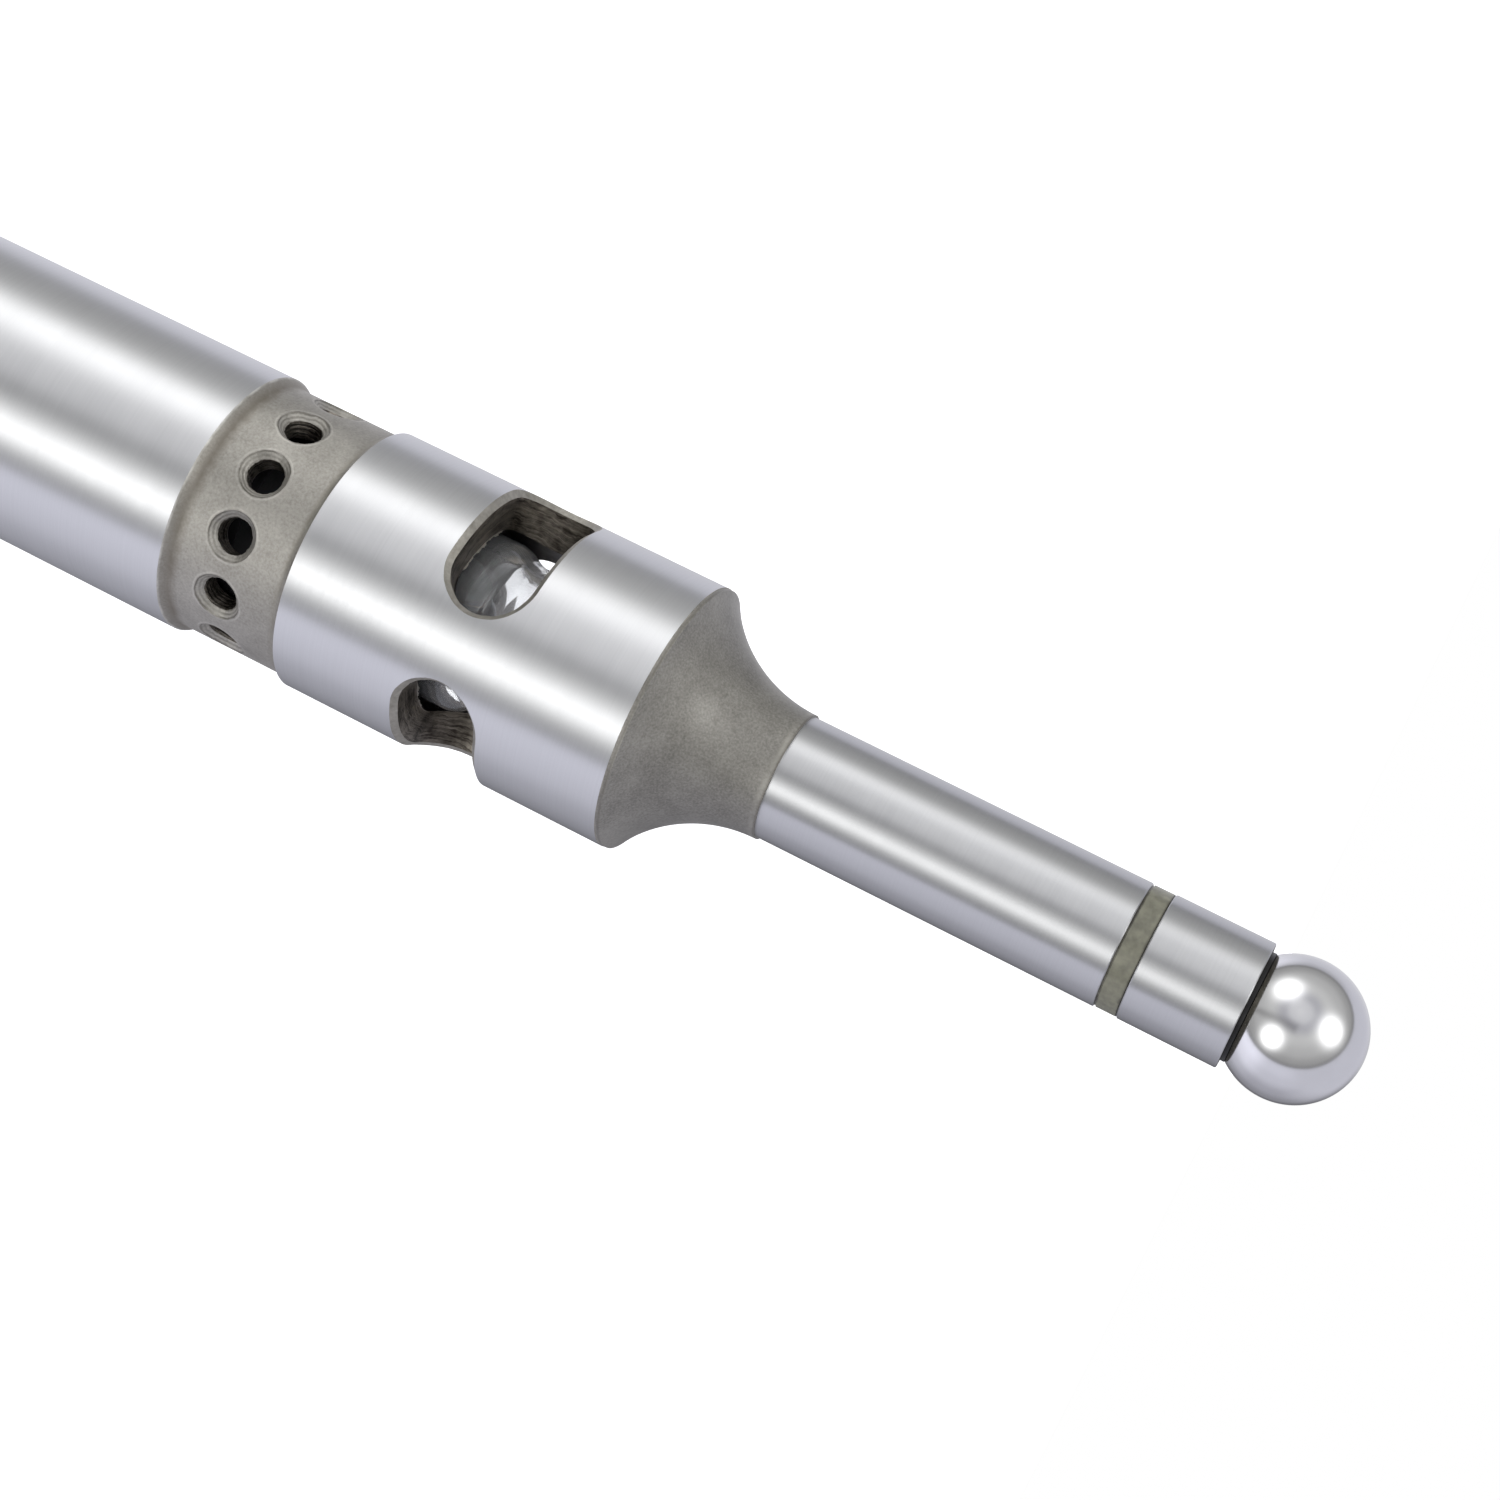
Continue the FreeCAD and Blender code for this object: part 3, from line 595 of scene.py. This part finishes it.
housing = {"shank": 10.0, "shankEnd": 71.8, "rearChamfer": 0.8, "grooveRadius": 9.5, "rearFillet": 1.5,
           "frontFillet": 0.8, "bodyStart": 81.5, "bodyEnd": 107.4, "flareTop": 9.95, "flareLand": 0.35,
           "flareFoot": 4.75, "noseStart": 116.9, "nose": 4.6, "noseEnd": 142.6, "edgeBreak": 0.07}
bore = {"nose": 3.6, "bush": 4.6, "bushStart": 106.4, "bushEnd": 107.9, "chamber": 7.1, "chamberEnd": 103.9,
        "chamberStart": 89.68, "main": 7.5, "boardStart": 86.98, "clip": 7.85, "clipStart": 86.08,
        "bandEnd": 80.0, "bandStart": 72.8, "thread": 8.0, "threadEnd": 8.6, "mouth": 8.5, "mouthEnd": 2.0}
soundHole = {"count": 12, "first": -90, "height": 76.4, "radius": 9.5, "mouth": 1.825, "drill": 1.325,
             "swing": 0.0, "sideSteps": 30, "rows": 5, "rough": 0.035, "ridge": 0.045, "ridges": 4}
window = {"count": 3, "first": -90, "height": 94.45, "radius": 10.0, "mouth": 3.42, "drill": 3.0,
          "swing": 51.0, "sideSteps": 48, "rows": 10, "rough": 0.03, "ridge": 0.0, "ridges": 1}


def makeHousing():
    h, b = housing, bore
    depth = h["shank"] - h["grooveRadius"]
    rearRun = math.sqrt(depth * (2 * h["rearFillet"] - depth))
    frontRun = math.sqrt(depth * (2 * h["frontFillet"] - depth))
    floorStart, floorEnd = h["shankEnd"] + rearRun, h["bodyStart"] - frontRun
    rearAngle = math.degrees(math.atan2(-rearRun, depth - h["rearFillet"]))
    frontAngle = math.degrees(math.atan2(frontRun, depth - h["frontFillet"]))
    rise, run = h["flareTop"] - h["flareFoot"], h["noseStart"] - h["bodyEnd"] - h["flareLand"]
    flare = (rise ** 2 + run ** 2) / (2 * rise)
    flareAngle = math.degrees(math.atan2(-run, rise - flare))
    ground, blasted, milled, rim, bored, fine, bell, drilled = range(8)
    tipEdge = h["noseEnd"] - h["edgeBreak"]
    patches = turned(path(
        (b["mouth"], 0), (h["shank"] - h["rearChamfer"], 0), (h["shank"], h["rearChamfer"]),
        (h["shank"], h["shankEnd"])), ground)
    patches += turned(path(
        (h["nose"], h["noseStart"]), (h["nose"], tipEdge), (h["nose"] - h["edgeBreak"], h["noseEnd"]),
        (b["nose"], h["noseEnd"])), fine)
    rearMiddle = (h["grooveRadius"] + h["rearFillet"], floorStart)
    frontMiddle = (h["grooveRadius"] + h["frontFillet"], floorEnd)
    patches += turned([arc(rearMiddle, h["rearFillet"], rearAngle, -180, 10),
                       arc(frontMiddle, h["frontFillet"], 180, frontAngle, 10)], blasted)
    patches += turned(
        path((h["shank"], h["bodyEnd"]), (h["flareTop"], h["bodyEnd"]),
             (h["flareTop"], h["bodyEnd"] + h["flareLand"]))
        + [arc((h["flareFoot"] + flare, h["noseStart"]), flare, flareAngle, -180, 40)]
        + path((h["flareFoot"], h["noseStart"]), (h["nose"], h["noseStart"])), bell)
    patches += turned(
        path((b["nose"], h["noseEnd"]), (b["nose"], b["bushEnd"]), (b["bush"], b["bushEnd"]),
             (b["bush"], b["bushStart"]), (b["chamber"], b["chamberEnd"]))
        + path((b["chamber"], b["chamberStart"]), (b["main"], b["chamberStart"]),
               (b["main"], b["boardStart"]), (b["clip"], b["boardStart"]), (b["clip"], b["clipStart"]),
               (b["main"], b["clipStart"]), (b["main"], b["bandEnd"]))
        + path((b["main"], b["bandStart"]), (b["main"], b["threadEnd"]), (b["thread"], b["threadEnd"]),
               (b["thread"], b["mouthEnd"]), (b["mouth"], b["mouthEnd"]), (b["mouth"], 0)), bored)
    for kind, low, high, inner in (
            (soundHole, floorStart, floorEnd, (b["main"], b["bandStart"], b["bandEnd"])),
            (window, h["bodyStart"], h["bodyEnd"], (b["chamber"], b["chamberStart"], b["chamberEnd"]))):
        kind["loop"] = openingAngles(kind, *openingLoop(kind, low, high))
        radius, lip = kind["radius"], kind["mouth"] - kind["drill"]
        outside, lipSlot, wallSlot = (ground, rim, milled) if kind is window else (blasted, blasted, drilled)
        patches += piercedBand(kind, radius, low, high, kind["mouth"], 1, outside, kind["rough"] / 2)
        patches += openingWall(kind, (kind["mouth"], radius, kind["rough"] / 2),
                               (kind["drill"], radius - lip, kind["rough"]), lipSlot)
        # the wall below, with the ridges that a drill leaves: every other ring stands a little further in
        steps = np.linspace(radius - lip, inner[0], 2 * kind["ridges"] + 1)
        proud = [0 if i in (0, 2 * kind["ridges"]) else kind["ridge"] * (i % 2) for i in range(len(steps))]
        rough = [kind["rough"]] * (len(steps) - 1) + [0]
        for i in range(len(steps) - 1):
            patches += openingWall(kind, (kind["drill"] - proud[i], steps[i], rough[i]),
                                   (kind["drill"] - proud[i + 1], steps[i + 1], rough[i + 1]), wallSlot)
        patches += piercedBand(kind, *inner, kind["drill"], -1, bored)
    finishes = [groundSteel, grooveSteel, milledWall, brokenEdge, boreSteel, noseSteel, flareSteel,
                drilledWall]
    meshPiece("housing_ground", patches, finishes, "housing", ["housing"])


makeHousing()


# waves are (height, waves over the edge, phase from window to window)
burr = {"stand": 0.02, "thickness": 0.05, "width": 0.2, "rear": -2.98, "steps": 140, "reach": 0.47,
        "mean": 0.55, "least": 0.08, "waves": ((0.3, 9, 2), (0.22, 23, 1), (0.14, 57, 3)),
        "section": ((0, 0), (1, 0), (0.9, 1), (0.4, 1), (0, 0))}
burrLook = dict(rimLook, tint=(0.66, 0.64, 0.59, 1), shade=(0.40, 0.38, 0.34, 1), roughness=0.45)


def makeBurrs():
    # thin ragged strip left by the cutter on each window's inner edge: a four-cornered section drawn along
    # the edge, its width = width x (mean + sines of the swing), running out to nothing at both ends
    b = burr
    u = np.linspace(-1, 1, b["steps"] + 1)
    ends = 1 - u ** 8
    swing = u * b["reach"] * window["swing"]
    patches = []
    for number in range(window["count"]):
        turn = window["first"] + number * 360 / window["count"] + swing
        waves = sum(size * np.sin(rate * u + phase * number) for size, rate, phase in b["waves"])
        width = b["width"] * np.maximum(b["mean"] + waves, b["least"]) * ends
        thick = b["thickness"] * ends
        low = window["height"] + b["rear"]
        grid = np.stack([around(bore["chamber"] + b["stand"] + rise * thick, low + share * width, turn)
                         for rise, share in b["section"]])
        middle = grid[:4].mean(0)
        for i in range(4):
            side = grid[i:i + 2]
            normal = np.cross(side[1] - side[0], np.gradient(side[0], axis=0))
            normal /= np.maximum(np.linalg.norm(normal, axis=-1, keepdims=True), 1e-12)
            if np.sum(normal * ((side[0] + side[1]) / 2 - middle)) < 0:
                normal = -normal
            patches.append((side, np.stack([normal, normal]), 0))
    burredEdge = grainFinish("burred_edge", burrLook, Metallic=1.0)
    meshPiece("window_burrs", patches, [burredEdge], "housing", [])


makeBurrs()


epoxyLook = {"tint": (0.225, 0.222, 0.165, 1), "shade": (0.10, 0.099, 0.076, 1), "scale": 1500, "cloud": 300,
             "contrast": 2.4, "roughness": 0.26, "bump": 0.2, "depth": 0.00003,
             "seam": (0.02, 0.016, 0.011, 1), "seams": (142.62, 144.28), "seamWidth": 0.2, "seamRagged": 0.3}
seatLook = {"tint": (0.035, 0.035, 0.036, 1), "shade": (0.018, 0.018, 0.018, 1), "scale": 2500, "cloud": 400,
            "contrast": 1.2, "roughness": 0.35, "bump": 0.2, "depth": 0.00002}
faceLook = {"tint": (0.16, 0.15, 0.125, 1), "shade": (0.07, 0.066, 0.055, 1), "scale": 1800, "cloud": 500,
            "contrast": 2.2, "roughness": 0.6, "bump": 0.3, "depth": 0.00003}
glassEpoxy, epoxyTree, epoxyShader = newFinish("glass_epoxy", Roughness=epoxyLook["roughness"])
epoxyGrain = grainOf(epoxyTree, epoxyLook)
epoxyColour = epoxyGrain.outputs["Color"]
for seamAt in epoxyLook["seams"]:          # painted shade that sits in the two seams, over the collar's modelled seam grooves
    seamShadeMask = useGroup(epoxyTree, band, At=seamAt * mm, Width=epoxyLook["seamWidth"] * mm,
                        Ragged=epoxyLook["seamRagged"] * mm, Broken=0.25, Scale=900.0)
    epoxyColour = mixColour(epoxyTree, seamShadeMask.outputs["Mask"], epoxyColour, epoxyLook["seam"])
epoxyTree.links.new(epoxyColour, epoxyShader.inputs["Base Color"])
bumpFrom(epoxyTree, epoxyShader, epoxyGrain.outputs["Height"], epoxyLook["bump"], epoxyLook["depth"])
blackSteel = grainFinish("black_steel", seatLook, Metallic=0.6)
faceSteel = grainFinish("turned_face", faceLook, Metallic=1.0)
ballSteel, ballTree, ballShader = newFinish("ball_steel", Metallic=1.0, Roughness=ballLook["roughness"])
ballTree.links.new(grainOf(ballTree, ballLook).outputs["Color"], ballShader.inputs["Base Color"])

tip = {"collarStart": 142.6, "tipStart": 144.3, "tipEnd": 151.6, "radius": 4.6, "edgeBreak": 0.07,
       "collarRadius": 4.54, "seam": 0.1, "rearSeam": 0.13, "frontSeam": 0.06, "rearSlope": 0.03,
       "frontSlope": 0.02, "spigot": 3.59, "spigotBore": 2.9, "spigotStart": 136.6, "spigotEnd": 146.9,
       "sleeveBore": 3.6, "counterbore": 4.01, "counterboreDepth": 2, "seat": 4.0, "seatBore": 3.2,
       "seatCup": 5.05, "ball": 5.0, "ballCentre": 155.0, "stud": 1.1, "studEnd": 154}


def makeTip():
    t = tip
    outside, groove = t["collarRadius"], t["collarRadius"] - t["seam"]
    low, high = t["collarStart"], t["tipStart"]
    rearSeam, frontSeam = low + t["rearSeam"], high - t["frontSeam"]
    collar = turned(path(
        (t["spigotBore"], t["spigotStart"]), (t["spigot"], t["spigotStart"]), (t["spigot"], low),
        (groove, low), (groove, rearSeam), (outside, rearSeam + t["rearSlope"]),
        (outside, frontSeam - t["frontSlope"]), (groove, frontSeam), (groove, high), (t["spigot"], high),
        (t["spigot"], t["spigotEnd"]), (t["spigotBore"], t["spigotEnd"]),
        (t["spigotBore"], t["spigotStart"])), steps=180)
    meshPiece("collar_epoxy", collar, [glassEpoxy], "housing", ["insulating_collar"])
    edge, end = t["radius"] - t["edgeBreak"], t["tipEnd"]
    shoulder = end - t["counterboreDepth"]
    sleeve = turned(
        path((t["sleeveBore"], high), (edge, high), (t["radius"], high + t["edgeBreak"]),
             (t["radius"], end - t["edgeBreak"]), (edge, end))
        + path((t["counterbore"], shoulder), (t["sleeveBore"], shoulder), (t["sleeveBore"], high)))
    sleeve += turned(path((edge, end), (t["counterbore"], end), (t["counterbore"], shoulder)), 1)
    meshPiece("tip_ground", sleeve, [noseSteel, faceSteel], "housing", ["tip_sleeve"])
    # the seat's cup is a sphere round the ball's centre, the ball's own running gap wider
    cup, centre = t["seatCup"], t["ballCentre"]
    inner, outer = [math.degrees(math.asin(r / cup)) for r in (t["seatBore"], t["seat"])]
    rim, foot = [centre - cup * math.cos(math.radians(angle)) for angle in (outer, inner)]
    seat = turned(path((t["seatBore"], shoulder), (t["seat"], shoulder), (t["seat"], rim))
                  + [arc((0, centre), cup, outer - 90, inner - 90, 8)]
                  + path((t["seatBore"], foot), (t["seatBore"], shoulder)), steps=180)
    meshPiece("seat_black", seat, [blackSteel], "housing", ["ball_seat"])
    bottom = math.degrees(math.asin(t["stud"] / t["ball"]))
    ball = turned([arc((0, centre), t["ball"], bottom - 90, 90, 90)]
                  + path((0, t["studEnd"]), (t["stud"], t["studEnd"]),
                         (t["stud"], centre - t["ball"] * math.cos(math.radians(bottom)))), steps=180)
    meshPiece("ball_polished", ball, [ballSteel], "contact", ["ball"])


makeTip()


# light lens: clear moulded plastic with a faint tint, so what lies behind it stays a shadow
lens = {"flange": 7.4, "base": 6.45, "front": 5.65, "wall": 1.2, "passage": 0.6, "rear": 88.18, "seat": 89.68,
        "shoulder": 92.38, "barrel": 94.98, "dome": 97.48}
lensLook = {"tint": (0.93, 0.94, 0.95, 1), "shade": (0.84, 0.85, 0.86, 1), "scale": 600, "cloud": 260,
            "contrast": 1.6, "roughness": 0.05, "bump": 0.06, "depth": 0.00003, "clear": 0.92}


def makeLens():
    # two walls of one outline: base, an ogee of two equal arcs, barrel and a quarter-round dome;
    # the flange closes them behind and a small passage in front
    g = lens
    finish, tree, shader = newFinish("smoky_plastic", Roughness=lensLook["roughness"],
                                     Transmission_Weight=lensLook["clear"], IOR=1.49)
    swirl = grainOf(tree, lensLook)
    tree.links.new(swirl.outputs["Color"], shader.inputs["Base Color"])
    bumpFrom(tree, shader, swirl.outputs["Cloud"], lensLook["bump"], lensLook["depth"])
    fall, run = g["base"] - g["front"], g["barrel"] - g["shoulder"]
    slope = math.atan2(fall, run)
    bend = run / 2 / math.sin(2 * slope)
    swing = math.degrees(2 * slope)

    def wall(inset):
        base, front = g["base"] - inset, g["front"] - inset
        top = math.degrees(math.acos(g["passage"] / front))
        return [arc((base - bend, g["shoulder"]), bend, 0, swing, 10),
                arc((front + bend, g["barrel"]), bend, 180 + swing, 180, 10),
                line(front, g["barrel"], front, g["dome"]),
                arc((0, g["dome"]), front, 0, top, 40)]

    def inward(stretch):
        # the same stretch with its normal turned round
        r, z, nr, nz = stretch
        return r, z, -nr, -nz

    cavity = g["base"] - g["wall"]
    outside = path((g["flange"], g["rear"]), (g["flange"], g["seat"]), (g["base"], g["seat"]),
                   (g["base"], g["shoulder"])) + wall(0)
    inside = [inward(s) for s in path((cavity, g["rear"]), (cavity, g["shoulder"])) + wall(g["wall"])]
    outerEnd, innerEnd = outside[-1][1][-1], inside[-1][1][-1]
    passage = inward(line(g["passage"], innerEnd, g["passage"], outerEnd))
    rear = line(cavity, g["rear"], g["flange"], g["rear"])
    meshPiece("lens_smoky", turned(outside + inside + [passage, rear], steps=180), [finish], "housing",
              ["light_lens"])


makeLens()


insideGrain = {"scale": 1800, "cloud": 300, "contrast": 1.3, "bump": 0.15, "depth": 0.00003}
endLook = {"tint": (0.66, 0.66, 0.655, 1), "shade": (0.42, 0.42, 0.415, 1), "contrast": 1.6,
           "roughness": 0.36, "bump": 0.35, "depth": 0.00003}
lampGlass = {"Transmission Weight": 0.9, "IOR": 1.52}
insideLooks = {          # tint, shade, roughness, metallic
    "lamp_clear": ((0.72, 0.73, 0.75), (0.60, 0.61, 0.63), 0.08, 0.0),
    "board_green": ((0.02, 0.17, 0.06), (0.012, 0.11, 0.04), 0.35, 0.0),
    "wire_dark": ((0.045, 0.045, 0.05), (0.025, 0.025, 0.03), 0.4, 0.0),
    "battery_can": ((0.62, 0.62, 0.60), (0.5, 0.5, 0.48), 0.32, 1.0),
    "black_plastic": ((0.03, 0.03, 0.032), (0.015, 0.015, 0.016), 0.45, 0.0),
    "white_plastic": ((0.75, 0.74, 0.70), (0.62, 0.61, 0.57), 0.45, 0.0),
    "brass": ((0.72, 0.50, 0.20), (0.58, 0.38, 0.14), 0.28, 1.0),
    "spring_steel": ((0.60, 0.60, 0.59), (0.42, 0.42, 0.41), 0.3, 1.0),
    "seal_rubber": ((0.02, 0.02, 0.02), (0.01, 0.01, 0.01), 0.6, 0.0),
    "resistor_body": ((0.55, 0.42, 0.25), (0.42, 0.30, 0.17), 0.4, 0.0),
    "ground_steel": ((0.66, 0.66, 0.66), (0.5, 0.5, 0.5), 0.3, 1.0),
    "glass_epoxy": ((0.36, 0.375, 0.27), (0.27, 0.28, 0.2), 0.38, 0.0),
}
insideFinishes = {}
for slotName, (tint, shade, rough, metal) in insideLooks.items():
    look = dict(insideGrain, tint=tint + (1,), shade=shade + (1,), roughness=rough)
    insideFinishes[slotName] = grainFinish("inside_" + slotName, look, Metallic=metal)
insideFinishes["end_cap"] = milledFinish("turned_end", endLook)
lampShader = insideFinishes["lamp_clear"].node_tree.nodes["Principled BSDF"]
for socket, value in lampGlass.items():
    lampShader.inputs[socket].default_value = value

subparts = {part["node"]: part["material_slot"] for part in frame["record"]["subparts"]}
madeAnew = {"housing", "insulating_collar", "tip_sleeve", "ball_seat", "ball", "light_lens"}
for name, node in nodes.items():
    if name not in madeAnew:
        node.data.materials.clear()
        node.data.materials.append(insideFinishes.get(name, insideFinishes[subparts[name]]))
print("finishes on", len(nodes) - len(madeAnew), "inner nodes")


view = {"place": (0.13916, -0.12999, 0.15456), "aim": (-0.00039, -0.00042, 0.11372), "roll": 116.39,
        "azimuth": -43.05, "lens": 67.58, "sensor": 36.0, "clip": (0.01, 50)}
cameraData = bpy.data.cameras.new("camera")
cameraData.lens, cameraData.sensor_width = view["lens"], view["sensor"]
cameraData.clip_start, cameraData.clip_end = view["clip"]
camera = bpy.data.objects.new("camera", cameraData)
bpy.context.scene.collection.objects.link(camera)
sight = Vector(view["aim"]) - Vector(view["place"])
camera.rotation_mode = "QUATERNION"
roll = Quaternion((0, 0, 1), math.radians(view["roll"]))
camera.rotation_quaternion = sight.to_track_quat("-Z", "Y") @ roll
camera.location = view["place"]
bpy.context.scene.camera = camera

paperLook = {"reach": 12.0, "drop": -2e-5, "tint": (0.88, 0.88, 0.88, 1), "roughness": 0.9, "glow": 0.7}
floorMesh = bpy.data.meshes.new("floor")
corners = [(x * paperLook["reach"], y * paperLook["reach"], paperLook["drop"])
           for x, y in ((-1, -1), (1, -1), (1, 1), (-1, 1))]
floorMesh.from_pydata(corners, [], [(0, 1, 2, 3)])
floor = bpy.data.objects.new("floor", floorMesh)
bpy.context.scene.collection.objects.link(floor)
paper, _, paperShader = newFinish("pale_paper", Roughness=paperLook["roughness"],
                                  Base_Color=paperLook["tint"], Emission_Strength=paperLook["glow"])
paperShader.inputs["Emission Color"].default_value = (1, 1, 1, 1)
floorMesh.materials.append(paper)
floor.visible_glossy = False

# A tent of soft light round the tool: azimuths in degrees from the camera's side, heights above the horizon.
# Each lamp is (azimuth, height, spread, strength), each stop (angle, level, share of blue).
# low and overhead are (from, to, level from, level to) and (from, to, level, blue) over the height,
# and gap is (azimuth, half width, level), ending at the heights gapEnd.
tent = {"front": (-29, -1), "rim": 88, "softness": 2.5,
        "lamps": [(-60, -29, 15, 3.1), (27, -23, 12.5, 4.9), (-33, 52, 15.5, 3.5)],
        "low": (-34, -6, 1.08, 0.75), "overhead": (8, 42, 0.66, 1.12), "gap": (-3, 14, 0.60),
        "gapEnd": (-10, 10),
        "frontStops": [(0, 0.84, 1.03), (12, 0.76, 1.04), (25, 0.53, 1.07), (42, 0.69, 1), (62, 0.56, 1),
                       (80, 0.40, 1), (86, 0.24, 1), (90, 0.14, 1)],
        "backStops": [(0, 0.72, 1.06), (15, 0.98, 1.07), (45, 0.92, 1.1), (68, 0.58, 1.08), (250, 1.02, 1.13),
                      (272, 0.90, 1.13), (300, 0.60, 1.13), (326, 0.41, 1.12), (342, 0.22, 1.1),
                      (352, 0.30, 1.06), (360, 0.72, 1.06)]}


def direction(azimuth, height):
    # unit vector, its azimuth counted from the camera's side
    a, h = math.radians(azimuth + view["azimuth"]), math.radians(height)
    return math.cos(h) * math.cos(a), math.cos(h) * math.sin(a), math.sin(h)


def angleTo(tree, way, azimuth, height):
    # angle in degrees between the looking direction and one fixed direction
    dot = addNode(tree, "ShaderNodeVectorMath", operation="DOT_PRODUCT")
    tree.links.new(way, dot.inputs[0])
    dot.inputs[1].default_value = direction(azimuth, height)
    return times(tree, mathNode(tree, "ARCCOSINE", dot.outputs["Value"]), 180 / math.pi)


def grey(level, blue):
    return level, level, level * blue, 1


def ramp(tree, factor, stops, span):
    # colour ramp over span degrees
    node = addNode(tree, "ShaderNodeValToRGB")
    node.color_ramp.interpolation = "EASE"
    elements = node.color_ramp.elements
    while len(elements) < len(stops):
        elements.new(0.5)
    for element, (angle, level, blue) in zip(elements, stops):
        element.position = angle / span
        element.color = grey(level, blue)
    tree.links.new(factor, node.inputs["Fac"])
    return node.outputs["Color"]


world = bpy.data.worlds.new("studio")
bpy.context.scene.world = world
world.use_nodes = True
sky = world.node_tree
sky.nodes.clear()
way = addNode(sky, "ShaderNodeTexCoord").outputs["Generated"]
fromFront = angleTo(sky, way, *tent["front"])
frontColour = ramp(sky, mathNode(sky, "DIVIDE", fromFront, 180), tent["frontStops"], 180)
# backdrop by azimuth, counted from behind the camera round to the far side
turn = addNode(sky, "ShaderNodeVectorRotate", rotation_type="Z_AXIS")
turn.inputs["Angle"].default_value = math.radians(-view["azimuth"])
sky.links.new(way, turn.inputs["Vector"])
place = splitVector(sky, turn.outputs["Vector"])
azimuth = times(sky, mathNode(sky, "ARCTAN2", place["Y"], place["X"]), 180 / math.pi)
backColour = ramp(sky, mapRange(sky, azimuth, -180, 180, 0, 1), tent["backStops"], 360)
height = times(sky, mathNode(sky, "ARCSINE", place["Z"]), 180 / math.pi)
backColour = mixColour(sky, 1.0, backColour, mapRange(sky, height, *tent["low"], True), "MULTIPLY")
overhead = mapRange(sky, height, *tent["overhead"][:2], 0, 1, True)
backColour = mixColour(sky, overhead, backColour, grey(*tent["overhead"][2:]))
soft = tent["softness"] / 2
edge = mapRange(sky, fromFront, tent["rim"] - soft, tent["rim"] + soft, 0, 1, True)
total = mixColour(sky, edge, frontColour, backColour)
# the slit between the tent's flaps, below the horizon, is a little darker
gapAway = mathNode(sky, "ABSOLUTE", minus(sky, azimuth, tent["gap"][0]))
gapShade = mapRange(sky, gapAway, 0, tent["gap"][1], tent["gap"][2], 1, True)
gapShade = mathNode(sky, "MAXIMUM", gapShade, mapRange(sky, height, *tent["gapEnd"], 0, 1, True))
total = mixColour(sky, 1.0, total, gapShade, "MULTIPLY")
# each lamp glows as strength x exp(-(angle / spread)^2)
for azimuthOf, heightOf, spread, strength in tent["lamps"]:
    share = mathNode(sky, "DIVIDE", angleTo(sky, way, azimuthOf, heightOf), spread)
    fall = mathNode(sky, "EXPONENT", times(sky, times(sky, share, share), -1.0))
    total = mixColour(sky, 1.0, total, times(sky, fall, strength), "ADD")
background = addNode(sky, "ShaderNodeBackground", in_Strength=1.0)
sky.links.new(total, background.inputs["Color"])
plain = addNode(sky, "ShaderNodeBackground", in_Strength=1.0, in_Color=(1, 1, 1, 1))
# what the camera sees past the floor is plain white
ray = addNode(sky, "ShaderNodeLightPath")
choose = addNode(sky, "ShaderNodeMixShader")
sky.links.new(ray.outputs["Is Camera Ray"], choose.inputs["Fac"])
sky.links.new(background.outputs[0], choose.inputs[1])
sky.links.new(plain.outputs[0], choose.inputs[2])
sky.links.new(choose.outputs[0], addNode(sky, "ShaderNodeOutputWorld").inputs["Surface"])
bpy.context.scene.view_settings.view_transform = "Standard"
print("camera, floor and light made")
